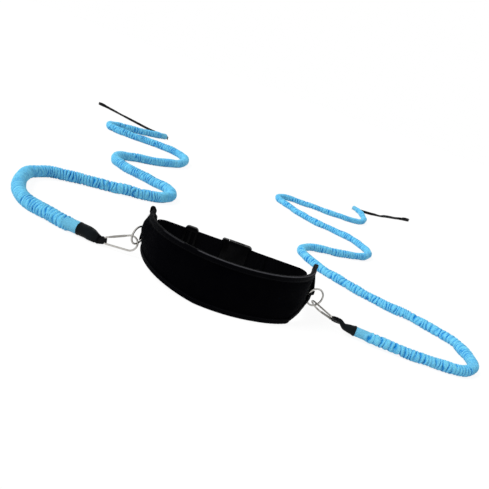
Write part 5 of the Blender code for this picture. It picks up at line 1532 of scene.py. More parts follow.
@dataclass
class CordCuff:
    """The black cuff that takes the sleeve's end, and the webbing loop that holds the hook."""

    place: HookPlace
    hook_wire: float = 0.0019
    webbing: float = 0.0015
    loop_width: float = 0.0153
    bight_width: float = 0.0086
    loop_leg: float = 0.0150
    neck_run: float = 0.0018
    flare_run: float = 0.0024
    tongue_half: float = 0.0072
    shoulder_half: float = 0.0082
    shoulder_thin: float = 0.0048
    radius: float = 0.0128
    bore_depth: float = 0.018
    growth: tuple[float, float, float, float] = (0.0, 0.45, 0.80, 1.0)
    mouth_growth: tuple[float, float, float] = (1.0, 1.0, 0.985)
    growth_stops: Lengths = (0.0, 0.4, 0.7, 1.0)
    squares: Lengths = (3.2, 2.8, 2.3, 2.0)
    mouth_stops: Lengths = (0.30, 0.62, 0.80)
    lip: tuple[tuple[float, float], ...] = ((0.86, 1.035), (0.97, 1.045), (1.03, 1.03), (1.05, 0.985))
    lip_inside: tuple[tuple[float, float], ...] = ((1.05, 0.0010), (0.98, 0.0016))
    bow_gap: float = 0.0026
    pinch: float = 0.035
    uv_step: float = 0.002
    sides: int = 40

    def section(self, centre: np.ndarray, along: np.ndarray, wide: float, thin: float, square: float) -> np.ndarray:
        """A ring of points between an ellipse and a rounded bar."""
        along = unit(along)
        thick = unit(np.cross(along, self.place.across_axis))
        across = unit(np.cross(thick, along))
        turns = 2.0 * math.pi * (np.arange(self.sides) + 0.5) / self.sides
        cosine, sine = np.cos(turns), np.sin(turns)
        x = np.sign(cosine) * np.abs(cosine) ** (2.0 / square) * wide
        y = np.sign(sine) * np.abs(sine) ** (2.0 / square) * thin
        return centre + across * x[:, None] + thick * y[:, None]

    def build(self, wardrobe: Wardrobe) -> list[Object]:
        """Makes and dresses the cuff and the hook's webbing loop.

        Returns:
            The pieces, which belong to the cord.
        """
        side = self.place.hand.value
        cuff, loop = self._cuff(side + "_end_cuff"), self._loop(side + "_hook_webbing")
        finish_piece(cuff, wardrobe.cuff, "belt", Slot.CUFF, side + "_cuff")
        finish_piece(loop, wardrobe.fine_webbing, "belt", Slot.WEBBING, side + "_cuff_loop")
        return [cuff, loop]

    def _cuff(self, name: str) -> Object:
        """Lofts the cuff from the flat tongue between the loop's legs to the round mouth over the sleeve."""
        place = self.place
        outward, direction, start = place.outward, place.direction, place.start
        shoulder = place.hook_pivot + outward * (self.loop_leg + SEAT_GAP)
        tongue = place.hook_pivot + outward * (self.hook_wire + self.bow_gap + self.neck_run)
        bore_end = start - direction * (self.bore_depth + SEAT_GAP)
        handle = float(np.linalg.norm(bore_end - shoulder)) / 2.0
        rings = [
            self.section(tongue, outward, self.tongue_half / 2.0, self.hook_wire, 4.0),
            self.section(shoulder - outward * 0.0015, outward, self.tongue_half, self.hook_wire, 4.0),
            self.section(shoulder - outward * 0.0004, outward, self.tongue_half + 0.0004, self.hook_wire + 0.0014, 3.6),
            self.section(shoulder, outward, self.shoulder_half - 0.0002, self.shoulder_thin - 0.0012, 3.4),
        ]
        shares = np.linspace(0.0, 1.0, 26)[1:]
        bends = (shoulder, shoulder + outward * handle, bore_end - direction * handle, bore_end)
        spots = sum(
            np.outer(weight, bend)
            for weight, bend in zip(
                ((1 - shares) ** 3, 3 * (1 - shares) ** 2 * shares, 3 * (1 - shares) * shares**2, shares**3), bends
            )
        )
        grow, square = (np.interp(shares, self.growth_stops, rows) for rows in (self.growth, self.squares))
        wides = self.shoulder_half + (self.radius - self.shoulder_half) * grow
        thins = self.shoulder_thin + (self.radius - self.shoulder_thin) * grow
        spots[:, 2] = np.maximum(spots[:, 2], wides + SEAT_GAP)
        alongs = np.gradient(np.vstack((shoulder, spots)), axis=0)[1:]
        turns = 2.0 * math.pi * (np.arange(self.sides) + 0.5) / self.sides
        for i, share in enumerate(shares):
            ring = self.section(spots[i], alongs[i], wides[i], thins[i], square[i])
            pinch = math.sin(math.pi * min(share * 1.15, 1.0)) * self.pinch
            crease = 1.0 - pinch * (0.5 + 0.5 * np.sin(3.0 * turns + 5.0 * share + place.hand.sign)) ** 3
            rings.append(spots[i] + (ring - spots[i]) * crease[:, None])
        for share, swell in (*zip(self.mouth_stops, self.mouth_growth), *self.lip):
            spot = bore_end + direction * (self.bore_depth * share)
            rings.append(self.section(spot, direction, self.radius * swell, self.radius * swell, 2.0))
        for share, wall in self.lip_inside:
            spot, inner = bore_end + direction * self.bore_depth * share, self.radius - wall
            rings.append(self.section(spot, direction, inner, inner, 2.0))
        stack = np.array(rings)
        stack[..., 2] = np.maximum(stack[..., 2], 0.0002)
        return join_rings(name, stack, np.arange(self.sides + 1) * self.uv_step, travelled(stack.mean(axis=1)))

    def _loop(self, name: str) -> Object:
        """Bends the webbing round the hook's narrow wire, with its two legs beside the cuff's tongue."""
        place = self.place
        outward, pivot, across = place.outward, place.hook_pivot, place.across_axis
        aside = unit(np.cross(across, outward))
        radius = self.hook_wire + SEAT_GAP + self.webbing / 2.0
        runs = np.linspace(self.loop_leg, 0.0, 16)[:-1]
        ease = smoothstep((runs - self.neck_run) / self.flare_run)
        widths = self.bight_width + (self.loop_width - self.bight_width) * ease
        first = pivot + aside * radius + outward * runs[:, None]
        bow = arc(pivot, aside * radius, -outward * radius, 0.0, math.pi, 16)
        second = pivot - aside * radius + outward * runs[::-1][:, None]
        line = np.vstack((first, bow, second))
        all_widths = np.concatenate((widths, np.full(len(bow), self.bight_width), widths[::-1]))
        acrosses, thicks = strip_axes(line, np.broadcast_to(across, line.shape))
        profiles = np.array([rounded_profile(width, self.webbing, 0.0006, 3) for width in all_widths])
        return sweep(name, line, acrosses, thicks, profiles)


# The cords
@dataclass
class CordRoute:
    """One cord's line on the floor, from its cuff to its far strap, and the strap's line after it."""

    place: HookPlace
    route: tuple[tuple[float, float], ...]
    end: tuple[float, float]
    strap_route: tuple[tuple[float, float], ...]
    strap_tilts: tuple[float, ...]
    smooth_start: float = 0.045
    smooth_end: float = 0.032
    sink: float = 0.0030
    steps: int = 24

    def __post_init__(self) -> None:
        """Draws the line."""
        height = self.place.sleeve_height
        start, direction = self.place.start, self.place.direction
        end = np.array((*self.end, height)) + SHIFT
        last = np.array((*self.route[-1], height)) + SHIFT
        back = unit(last - end)
        middle = [start + direction * self.smooth_start]
        sink = self.sink if self.place.hand is Hand.RIGHT else 0.0
        middle += [np.array((x, y, height - sink)) + SHIFT for x, y in self.route[:-1]]
        middle.append(end + back * self.smooth_end)
        self.line = np.vstack((start, hermite(middle, self.steps, direction, -back), end))
        self.length = float(travelled(self.line)[-1])
        self.end_point, self.end_direction = end, -back


@dataclass
class RuchedCord:
    """The blue sleeve in its gathers, and the rubber cord inside it."""

    cord: CordRoute
    crest: float = 0.0152
    valley: float = 0.0101
    smooth_radius: float = 0.0127
    pitch: float = 0.0088
    band: float = 0.021
    fold_lean: float = 1.15
    fold_depth: float = 0.72
    small_depth: float = 0.22
    lump: float = 0.0007
    pitch_spread: float = 0.22
    # How deep the painted shade in the main and small creases goes.
    crease_shade_depth: float = 0.95
    small_crease_shade: float = 0.30
    band_ripple: float = 0.00045
    tip_round: tuple[float, float] = (0.006, 0.0066)
    tip_share: float = 0.42
    rings: int = 2350
    sides: int = 40
    rubber_radius: float = 0.0050
    rubber_ends: tuple[float, float] = (0.0004, 0.0135)

    def build(self, wardrobe: Wardrobe, near_pieces: Sequence[Object]) -> Object:
        """Args:
            wardrobe: the finishes.
            near_pieces: the cuff, loop and hook on the cord's near end; not used.

        Returns:
            The sleeve.
        """
        hand = self.cord.place.hand
        sleeve = self._sleeve(hand.value + "_ruched_sleeve")
        finish_piece(sleeve, wardrobe.sleeve, "belt", Slot.BLUE, hand.value + "_sleeve")
        rubber = self._rubber(hand.value + "_rubber_cord")
        finish_piece(rubber, wardrobe.rubber, "belt", Slot.RUBBER, hand.value + "_elastic_cord")
        LOG.info("%s cord: %.3f m", hand.value, self.cord.length)
        return sleeve

    def _sleeve(self, name: str) -> Object:
        """Gathers the fabric: uneven folds round the cord, lumps along it and flat bands at both ends, and stores the
        painted light of its crests and creases.
        """
        cord, seed = self.cord, SEED + (10 if self.cord.place.hand is Hand.LEFT else 40)
        length = cord.length
        distances = np.linspace(0.0, length, self.rings)
        distances = np.concatenate((distances[:-1], (length - 0.0008, length)))
        line = at_distances(cord.line, np.clip(distances, 0.0, length))
        turns = 2.0 * math.pi * np.arange(self.sides) / self.sides
        along, around = np.meshgrid(distances, turns, indexing="ij")
        slow, lean, fine, lumps = (
            Ripple(seed, 0.08, 0.5, 8, 0), Ripple(seed + 1, 0.016, 0.07, 14, 2), Ripple(seed + 2, 0.006, 0.02, 14, 4),
            Ripple(seed + 3, 0.05, 0.20, 10, 1),
        )  # fmt: skip
        strength = Ripple(seed + 4, 0.02, 0.12, 12, 2)
        pitch = self.pitch * (1.0 + self.pitch_spread * slow.at(distances))
        phase = np.concatenate(([0.0], np.cumsum(np.diff(distances) * 2.0 * math.pi / pitch[1:])))
        wave = phase[:, None] + self.fold_lean * lean.at(along, around) + 0.6 * np.sin(around + 3.0 * slow.at(along))
        main = np.abs(np.cos(wave / 2.0)) ** 0.60
        small = np.abs(np.cos(wave * 1.07 + 1.6 * fine.at(along, around))) ** 0.8
        depth = np.clip(0.95 + 0.38 * strength.at(along, around), 0.5, 1.5)
        height = 1.0 - self.fold_depth * (1.0 - main) * depth - self.small_depth * (1.0 - small)
        # Painted light: shade painted into the creases and a highlight onto the crests; it also lifts the floor clamp a
        # little in the creases.
        painted_light = np.clip(1.0 - self.crease_shade_depth * (1.0 - main) * depth - self.small_crease_shade * (1.0 - small), 0.0, 1.0)
        gathered = self.valley + (self.crest - self.valley) * height + self.lump * lumps.at(along, around)
        rim = smoothstep((along - 0.012) / 0.030)
        ripple = self.band_ripple * rim * np.sin(7.0 * around + 2.0 * lean.at(along * 0.5, around))
        smooth_band = self.smooth_radius + ripple
        gather = smoothstep((along - self.band + 0.006 * lean.at(along * 0.3, around)) / 0.014)
        gather = gather * smoothstep((length - cord.smooth_end - along) / 0.012)
        past = np.maximum(along - length + self.tip_round[0], 0.0) / self.tip_round[1]
        closing = np.sqrt(np.clip(1.0 - past**2, 0.0, 1.0))
        closing = self.tip_share + (1.0 - self.tip_share) * closing
        radius = (smooth_band + (gathered - smooth_band) * gather) * closing
        sides = unit(np.cross(directions(line), UP))
        verts = (
            line[:, None, :]
            + sides[:, None, :] * (np.cos(turns)[None, :, None] * radius[..., None])
            + UP * (np.sin(turns)[None, :, None] * radius[..., None])
        )
        verts[..., 2] = np.maximum(verts[..., 2], 0.0003 + 0.00025 * (1.0 - painted_light))
        ring = circle_profile(self.sides) * self.smooth_radius
        made = join_rings(name, verts, travelled(np.vstack((ring, ring[:1]))), travelled(line))
        add_values(made, "painted_light", painted_light.ravel())
        add_values(made, "gather", gather.ravel())
        return made

    def _rubber(self, name: str) -> Object:
        """The rubber cord that the sleeve hides."""
        distances = np.linspace(self.rubber_ends[0], self.cord.length - self.rubber_ends[1], 420)
        line = at_distances(self.cord.line, distances)
        sides = unit(np.cross(directions(line), UP))
        return sweep(name, line, sides, np.broadcast_to(UP, line.shape), circle_profile(14) * self.rubber_radius)


@dataclass
class FarStrap:
    """Twisted webbing after the sleeve's far end, with a sewn loop at its tip."""

    cord: CordRoute
    width: float = 0.012
    thickness: float = 0.0020
    tongue: float = 0.006
    grip: float = 0.006
    lift: float = 0.0004
    loop_length: float = 0.075
    loop_half: float = 0.011
    tail: float = 0.020
    steps: int = 20
    loop_along: Lengths = (0.12, 0.30, 0.52, 0.74, 0.91, 1.0, 0.91, 0.74, 0.52, 0.30, 0.12)
    loop_side: Lengths = (0.18, 0.60, 0.96, 1.0, 0.66, 0.0, -0.66, -1.0, -0.96, -0.62, -0.34)

    def lie(self, tilt: np.ndarray | float) -> np.ndarray:
        """Height of the strap's middle when its lower edge is on the floor."""
        return self.width / 2.0 * np.sin(tilt) + self.thickness / 2.0 * np.cos(tilt) + self.lift

    def stations(self) -> tuple[np.ndarray, np.ndarray, np.ndarray]:
        """Middle line, width directions and widths of the strap."""
        cord, crest = self.cord, self.cord.place.sleeve_height
        end, direction = cord.end_point, cord.end_direction
        first = end + direction * self.tongue
        plan = [(first[0], first[1], math.pi / 2.0)]
        for (x, y), tilt in zip(cord.strap_route, cord.strap_tilts):
            plan.append((x + SHIFT[0], y + SHIFT[1], math.radians(tilt)))
        run = hermite(plan, self.steps)
        tilt = run[:, 2]
        ahead = np.gradient(run[:, :2], axis=0)
        aside = unit(np.stack((-ahead[:, 1], ahead[:, 0], np.zeros(len(run))), axis=1))
        share = np.maximum(1.0 - np.arange(len(run)) / self.steps, 0.0)
        rise = self.lie(tilt) + (crest - self.lie(tilt)) * share
        middle = np.column_stack((run[:, :2], rise))
        across = aside * np.cos(tilt)[:, None] + UP * np.sin(tilt)[:, None]
        grown = 0.5 + np.arange(len(run)) / self.steps
        widths = np.minimum(self.tongue + (self.width - self.tongue) * grown, self.width)
        knot = middle[-1].copy()
        knot[2] = float(self.lie(math.pi / 2.0))
        middle[-1], across[-1] = knot, UP
        forward = unit(np.array((*(run[-1, :2] - run[-2, :2]), 0.0)))
        sideways = np.array((-forward[1], forward[0], 0.0))
        bends = [
            knot + forward * (self.loop_length * reach) + sideways * (self.loop_half * out)
            for reach, out in zip(self.loop_along, self.loop_side)
        ]
        beside = knot - sideways * (self.thickness + 2.0 * SEAT_GAP)
        loop = np.vstack((hermite([knot, *bends, beside], 7)[1:], beside - forward * self.tail))
        start = end - direction * (SEAT_GAP + self.grip)
        centres = np.vstack((start, end, middle, loop))
        acrosses = np.vstack((UP, UP, across, np.broadcast_to(UP, loop.shape)))
        width = np.concatenate(([self.tongue] * 2, widths, [self.width] * len(loop)))
        return centres, acrosses, width

    def build(self, wardrobe: Wardrobe) -> Object:
        """Returns:
            The strap.
        """
        hand = self.cord.place.hand
        centres, acrosses, widths = self.stations()
        wides, thicks = strip_axes(centres, acrosses)
        profiles = np.array([rounded_profile(width, self.thickness, 0.0008, 4) for width in widths])
        strap = sweep(hand.value + "_tie_strap", centres, wides, thicks, profiles)
        finish_piece(strap, wardrobe.fine_webbing, "belt", Slot.WEBBING, hand.value + "_far_strap")
        LOG.info("%s strap: %.3f m", hand.value, float(travelled(centres)[-1]))
        return strap


# Rear strap and buckle
@dataclass
class RearStraps:
    """The two straps that are sewn inside the panel's ends and meet in the buckle."""

    outline: BeltOutline
    width: float = 0.050
    low: float = 0.025
    thickness: float = 0.0018
    corner: float = 0.018
    sewn: float = 0.045
    rear_y: float = 0.0805
    fold_run: float = 0.016
    tail: float = 0.036
    left_end_x: float = -0.068
    adjuster_end_x: float = -0.0995
    depth: float = 0.012
    socket_bar_x: float = 0.035
    plug_bar_x: float = -0.022
    fold_radius: float = 0.0032
    double: float = 0.00105
    triple: float = 0.0021
    seam_inset: float = 0.004
    box: tuple[float, float] = (0.003, 0.036)
    tacks: tuple[float, float] = (0.020, 0.031)

    @property
    def level(self) -> float:
        """Height of the straps' middle."""
        return self.low + self.width / 2.0

    def spot(self, x: float, y: float) -> np.ndarray:
        """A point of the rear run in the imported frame."""
        return np.array((x, y, self.level)) + SHIFT

    @staticmethod
    def run(x: np.ndarray | float, y: float, height: np.ndarray | float) -> np.ndarray:
        """Points in a row, from places of which one or more vary."""
        return np.stack(np.broadcast_arrays(x, y, height), axis=1)

    def flank(self, hand: Hand, rear_y: float) -> np.ndarray:
        """From the sewn front end, inside the panel and round the corner, to the rear run."""
        first = self.outline.distance_at_y(self.outline.flank_y) - self.sewn
        distance = hand.sign * (first + self.sewn * np.linspace(0.0, 1.0, 24))
        run = self.outline.point(distance, self.depth, self.level)
        flank_x = abs(run[-1][0] - SHIFT[0])
        centre = self.spot(hand.sign * (flank_x - self.corner), rear_y - self.corner)
        outwards, backwards = np.array((hand.sign * self.corner, 0.0, 0.0)), np.array((0.0, self.corner, 0.0))
        return np.vstack((run, arc(centre, outwards, backwards, 0.0, math.pi / 2.0, 20)))

    def strap(self, name: str, line: np.ndarray) -> Object:
        """Webbing of the full width along a line."""
        wides, thicks = strip_axes(line, np.broadcast_to(UP, line.shape))
        return sweep(name, line, wides, thicks, rounded_profile(self.width, self.thickness, 0.0007, 10))

    def build(self, wardrobe: Wardrobe) -> None:
        """Makes and dresses the straps, the doubled webbing and their stitches."""
        run = self.flank(Hand.RIGHT, self.rear_y + self.double)
        bar = self.spot(self.socket_bar_x, self.rear_y)
        over = np.linspace(run[-1][0] - 0.004, bar[0] + self.fold_run, 14)
        rear = self.run(over, run[-1][1], self.level)
        across, inwards = np.array((0.0, self.fold_radius, 0.0)), np.array((-self.fold_radius, 0.0, 0.0))
        bend = arc(bar, across, inwards, 0.0, math.pi, 14)
        under = np.linspace(self.socket_bar_x + self.fold_run, self.socket_bar_x + self.tail, 8)
        under_run = self.run(under, self.rear_y - self.double, self.level) + SHIFT
        line = np.vstack((run, rear, bend, under_run))
        strap = self.strap("right_waist_strap", line)
        finish_piece(strap, wardrobe.webbing, "belt", Slot.WEBBING, "right_rear_strap")

        run = self.flank(Hand.LEFT, self.rear_y)
        over = np.linspace(run[-1][0] + 0.004, self.left_end_x + SHIFT[0], 16)
        rear = self.run(over, run[-1][1], self.level)
        strap = self.strap("left_waist_strap", np.vstack((run, rear)))
        finish_piece(strap, wardrobe.webbing, "belt", Slot.WEBBING, "left_rear_strap")

        bar = self.spot(self.plug_bar_x, self.rear_y)
        outer = np.linspace(self.adjuster_end_x, self.plug_bar_x - self.fold_run, 14)
        first = self.run(outer, self.rear_y + self.triple, self.level) + SHIFT
        second = self.run(outer[::-1], self.rear_y - self.triple, self.level) + SHIFT
        bend = arc(bar, across, -inwards, 0.0, math.pi, 14)
        strap = self.strap("doubled_webbing", np.vstack((first, bend, second)))
        finish_piece(strap, wardrobe.webbing, "buckle_tongue", Slot.WEBBING, "adjuster_webbing")
        self._sew(wardrobe)

    def _sew(self, wardrobe: Wardrobe) -> None:
        """Box stitches on the sewn ends and bar tacks beside the buckle."""
        row = StitchRow(length=0.0026, pitch=0.0034, radius=0.00036)
        first = self.outline.distance_at_y(self.outline.flank_y) - self.sewn
        inner = self.depth + self.thickness / 2.0
        for hand in Hand:

            def lay(reach: np.ndarray, rise: np.ndarray) -> tuple[np.ndarray, np.ndarray]:
                """One run on the strap's inner face, and its outward directions."""
                distance = hand.sign * (first + reach)
                sewn = self.outline.point(distance, inner, self.level + (self.width / 2.0 - self.seam_inset) * rise)
                return sewn, -self.outline.at(distance)[2]

            row.box(*self.box, 7, 20, lay)
        levels = np.linspace(self.low + self.seam_inset, self.low + self.width - self.seam_inset, 20)
        for reach in self.tacks:
            back = self.run(self.socket_bar_x + reach, self.rear_y + self.double + self.thickness / 2.0, levels) + SHIFT
            row.follow(back, np.array((0.0, 1.0, 0.0)))
            front = back - np.array((0.0, 2.0 * self.double + self.thickness, 0.0))
            row.follow(front, np.array((0.0, -1.0, 0.0)))
        finish_piece(row.build("strap_stitches"), wardrobe.thread, "belt", Slot.WEBBING)


@dataclass
class SideRelease:
    """The buckle's socket and plug and the slider of the left strap, about the rear run's middle line."""

    place: np.ndarray
    half_height: float = 0.031
    mouth_x: float = -0.0100
    socket_end: float = 0.0305
    arm_end: float = 0.0390
    socket_half: float = 0.0065
    wall: float = 0.0018
    side_wall: float = 0.0024
    cavity_end: float = 0.0255
    window: tuple[float, float] = (0.0040, 0.0215)
    webbing_half: float = 0.026
    bar: float = 0.002
    socket_bar_x: float = 0.035
    plug_face_x: float = -0.0105
    plug_half: float = 0.0052
    plug_slot_x: float = -0.0176
    plug_bar_x: float = -0.0220
    plug_end: float = -0.0243
    guide: tuple[float, float, float] = (0.0175, 0.0038, 0.0060)
    prong_height: float = 0.0215
    seat: tuple[float, float] = (0.002, 0.0027)
    seat_half: float = 0.0043
    slider: tuple[float, float] = (-0.1010, -0.0735)
    slider_half: float = 0.0055
    tunnel: float = 0.0033
    lip: float = 0.0018
    groove: tuple[float, float, float] = (0.0012, 0.0004, 0.020)
    grooves: Lengths = (-0.0060, -0.0036, -0.0012)
    ladder_bar: float = 0.0042

    def _shell(
        self, name: str, low_x: float, high_x: float, half: float, round_low: float, round_high: float
    ) -> Object:
        """A flat block whose corners are rounded in its face, by one radius at each end.

        Args:
            name: the piece's name.
            low_x: where it starts.
            high_x: where it ends.
            half: half its thickness.
            round_low: the corners' radius at its start.
            round_high: the corners' radius at its end.

        Returns:
            The block.
        """
        tall = self.half_height
        block = add_box(name, (low_x, -half, -tall), (high_x, half, tall))
        for corner_x, radius in ((low_x, round_low), (high_x, round_high)):

            def upright(one: Vector, other: Vector) -> bool:
                """Whether an edge crosses the thickness at this end."""
                at_end = abs(one.x - corner_x) < SAME_PLACE and abs(other.x - corner_x) < SAME_PLACE
                return at_end and abs(one.y - other.y) > half

            bevel_edges(block, radius, 7, upright)
        return block

    def _soften(self, piece: Object, edge: float) -> None:
        """Rounds the sharp edges of a moulded piece."""
        rounding = piece.modifiers.new("moulded_edges", "BEVEL")
        rounding.width, rounding.segments = edge, 3
        rounding.limit_method, rounding.angle_limit = "ANGLE", math.radians(40.0)
        rounding.use_clamp_overlap = True
        apply_modifiers(piece)
        shade_by_angle(piece, 40.0)

    def _bar(self, name: str, x: float) -> Object:
        """The round bar that webbing folds about."""
        reach = (self.webbing_half + self.half_height) / 2.0
        return add_rod(name, self.bar, (x, 0.0, -reach), (x, 0.0, reach))

    def socket(self) -> Object:
        """Moulds the socket: hollow body, side windows, lips over the webbing's fold and the bar."""
        half, tall, past = self.socket_half, self.half_height, 0.01
        piece = self._shell("socket_shell", self.mouth_x, self.arm_end, half, 0.0012, 0.0085)
        inner, inner_tall = half - self.wall, tall - self.side_wall
        slot = add_box(
            "strap_slot", (self.socket_end, -past, -self.webbing_half), (self.arm_end + past, past, self.webbing_half)
        )
        hollow = add_box("hollow", (self.mouth_x - past, -inner, -inner_tall), (self.cavity_end, inner, inner_tall))
        windows = add_box("windows", (self.window[0], -inner, -tall - past), (self.window[1], inner, tall + past))
        run, deep, reach = self.groove
        grooves = [
            add_box(f"groove_{row}", (x, -half - past, -reach), (x + run, -half + deep, reach))
            for row, x in enumerate(self.grooves)
        ]
        cut_away(piece, [slot, hollow, windows, *grooves])
        lip = add_box(
            "fold_lip", (self.socket_end - 0.001, -half, -self.webbing_half - 0.001),
            (self.socket_end + 0.0026, -half + self.lip, self.webbing_half + 0.001),
        )  # fmt: skip
        mouth_lip = add_box(
            "mouth_lip", (self.mouth_x - 0.0028, -half - 0.0004, -tall + 0.0008),
            (self.mouth_x + 0.002, -self.plug_half - 0.0004, tall - 0.0008),
        )  # fmt: skip
        cut_away(piece, [lip, mouth_lip, self._bar("socket_bar", self.socket_bar_x)], "UNION")
        self._soften(piece, 0.0005)
        return piece

    def plug(self) -> Object:
        """Moulds the plug: frame, bar, guide and the seats of the two prongs."""
        half, past, wide = self.plug_half, 0.01, self.webbing_half
        piece = self._shell("plug_frame", self.plug_end, self.plug_face_x, half, 0.0045, 0.0008)
        depth, room = self.seat
        slot = add_box("strap_slot", (self.plug_end - past, -past, -wide), (self.plug_slot_x, past, wide))
        low_x, high_x = self.plug_face_x - depth - room, self.plug_face_x + past
        seats = [
            add_box(f"prong_seat_{row}", (low_x, -self.seat_half, at - room), (high_x, self.seat_half, at + room))
            for row, at in enumerate((-self.prong_height, self.prong_height))
        ]
        cut_away(piece, [slot, *seats])
        reach, thin, tall = self.guide
        guide = add_box("guide", (self.plug_face_x - 0.003, -thin, -tall), (reach, thin, tall))
        lip = add_box(
            "fold_lip", (self.plug_slot_x - 0.0022, -half - 0.0004, -wide - 0.001),
            (self.plug_slot_x + 0.001, -half + 0.0009, wide + 0.001),
        )  # fmt: skip
        cut_away(piece, [guide, lip, self._bar("plug_bar", self.plug_bar_x)], "UNION")
        self._soften(piece, 0.0005)
        return piece

    def ladder(self) -> Object:
        """Moulds the three-bar slider round the tripled webbing."""
        low, high = self.slider
        half, past, wide = self.slider_half, 0.01, self.webbing_half
        piece = self._shell("webbing_slider", low, high, half, 0.0075, 0.0075)
        tunnel = add_box("tunnel", (low - past, -self.tunnel, -wide), (high + past, self.tunnel, wide))
        bar, reach = self.ladder_bar, wide - 0.004
        middle = (low + high) / 2.0
        windows = [
            add_box(f"ladder_window_{row}", (first, -past, -reach), (last, past, reach))
            for row, (first, last) in enumerate(((low + bar, middle - bar / 2.0), (middle + bar / 2.0, high - bar)))
        ]
        cut_away(piece, [tunnel, *windows])
        self._soften(piece, 0.0006)
        return piece

    def build(self, wardrobe: Wardrobe) -> None:
        """Makes, sets and dresses the three pieces."""
        place = Matrix.Translation(Vector(self.place))
        for piece, body, node in (
            (self.socket(), "belt", "buckle_socket"),
            (self.plug(), "buckle_tongue", "buckle_plug"),
            (self.ladder(), "buckle_tongue", "strap_slider"),
        ):
            settle(piece, place)
            finish_piece(piece, wardrobe.plastic, body, Slot.BUCKLE, node)


# Studio
@dataclass
class Studio:
    """Camera, floor and light. None of it is part of the trainer."""

    lens: float = 41.2270
    camera_at: tuple[float, float, float] = (-0.012469, -0.98285, 0.38)
    pitch: float = 15.576
    yaw: float = 1.3204
    roll: float = 20.0
    fill: float = 0.40
    key: float = 1.95
    rim: float = 0.35
    floor_size: float = 240.0
    floor_drop: float = 0.0004
    floor_grey: float = 0.82
    floor_glow: float = 1.08
    glow_share: float = 0.84

    def camera(self) -> None:
        """Sets the camera at the photograph's viewpoint."""
        data = bpy.data.cameras.new("photo_view")
        data.lens, data.sensor_width = self.lens, 36.0
        data.clip_start, data.clip_end = 0.01, 300.0
        eye = link_new("photo_view", data)
        turn = (
            Matrix.Rotation(math.radians(-self.yaw), 4, "Z")
            @ Matrix.Rotation(math.radians(90.0 - self.pitch), 4, "X")
            @ Matrix.Rotation(math.radians(self.roll), 4, "Z")
        )
        eye.matrix_world = Matrix.Translation(self.camera_at) @ turn
        bpy.context.scene.camera = eye

    @staticmethod
    def seen(bench: Bench) -> NodeSocket:
        """1 for a ray that the camera sees at once, in a mirror or through glass."""
        ray = bench.node("LightPath").outputs
        seen = bench.math("MAXIMUM", ray["Is Camera Ray"], ray["Is Glossy Ray"])
        return bench.math("MAXIMUM", seen, ray["Is Transmission Ray"])

    def light(self) -> None:
        """Sets a soft key from the front left and an even fill from all round."""
        world = bpy.data.worlds.new("plain_studio")
        bpy.context.scene.world = world
        world.use_nodes = True
        bench = Bench(world.node_tree)
        seen = self.seen(bench)
        background = world.node_tree.nodes["Background"]
        background.inputs["Color"].default_value = (1.0, 1.0, 1.0, 1.0)
        bench.feed(background.inputs["Strength"], bench.remap(seen, 0.0, 1.0, self.fill, 1.0))
        for name, towards, strength, angle in (
            ("key", (0.70, 0.34, -0.80), self.key, 24.0),
            ("rim", (-0.7, -0.5, -0.9), self.rim, 60.0),
        ):
            lamp = bpy.data.lights.new(name, "SUN")
            lamp.energy, lamp.angle = strength, math.radians(angle)
            made = link_new(name, lamp)
            made.visible_glossy = False
            made.rotation_mode = "QUATERNION"
            made.rotation_quaternion = Vector(towards).to_track_quat("-Z", "Y")

    def floor(self) -> None:
        """Lays the plain white floor, which keeps a faint shadow."""
        middle = (0.0, self.floor_size / 4.0, -self.floor_drop)
        floor = add_basic(bpy.ops.mesh.primitive_plane_add, "studio_floor", size=self.floor_size, location=middle)
        made, bench, shader = start_material("plain_white_floor")
        tree = made.node_tree
        bench.fill(shader, Base_Color=(*[self.floor_grey] * 3, 1.0), Roughness=0.9, Specular_IOR_Level=0.0)
        glow = bench.fill(bench.node("Emission"), Strength=self.floor_glow)
        seen = self.seen(bench)
        share = bench.math("MULTIPLY", seen, self.glow_share)
        blend = bench.node("MixShader")
        bench.feed(blend.inputs[0], share)
        tree.links.new(shader.outputs[0], blend.inputs[1])
        tree.links.new(glow.outputs[0], blend.inputs[2])
        tree.links.new(blend.outputs[0], tree.nodes["Material Output"].inputs["Surface"])
        floor.data.materials.append(made)


LEFT_ROUTE = (
    (-0.392, 0.072), (-0.440, 0.108), (-0.472, 0.158), (-0.498, 0.228), (-0.509, 0.295), (-0.489, 0.346),
    (-0.434, 0.382), (-0.354, 0.418), (-0.284, 0.445), (-0.232, 0.481), (-0.210, 0.545), (-0.234, 0.610),
    (-0.298, 0.653), (-0.374, 0.690), (-0.431, 0.746), (-0.449, 0.825), (-0.414, 0.892), (-0.353, 0.953),
    (-0.302, 1.028), (-0.281, 1.120), (-0.292, 1.218), (-0.344, 1.296), (-0.424, 1.322), (-0.509, 1.322),
    (-0.588, 1.322), (-0.643, 1.352), (-0.660, 1.406), (-0.636, 1.453), (-0.585, 1.489), (-0.524, 1.543),
)  # fmt: skip
RIGHT_ROUTE = (
    (0.381, 0.0005), (0.436, 0.000), (0.486, 0.008), (0.522, 0.037), (0.536, 0.090), (0.527, 0.150),
    (0.496, 0.192), (0.446, 0.225), (0.381, 0.253), (0.318, 0.288), (0.264, 0.332), (0.216, 0.384),
    (0.187, 0.436), (0.182, 0.494), (0.208, 0.544), (0.264, 0.574), (0.324, 0.607), (0.378, 0.652),
    (0.408, 0.712), (0.402, 0.785), (0.364, 0.850), (0.308, 0.890), (0.246, 0.914), (0.192, 0.966),
    (0.144, 1.036), (0.108, 1.100), (0.104, 1.146), (0.130, 1.184), (0.178, 1.197), (0.246, 1.198),
    (0.316, 1.198), (0.384, 1.200), (0.444, 1.228), (0.477, 1.300), (0.487, 1.385), (0.486, 1.462),
)  # fmt: skip
LEFT_STRAP_ROUTE = (
    (-0.451, 1.642), (-0.461, 1.657), (-0.481, 1.675), (-0.513, 1.697), (-0.564, 1.726), (-0.640, 1.787),
    (-0.694, 1.833), (-0.748, 1.880), (-0.810, 1.934), (-0.860, 1.976),
)  # fmt: skip
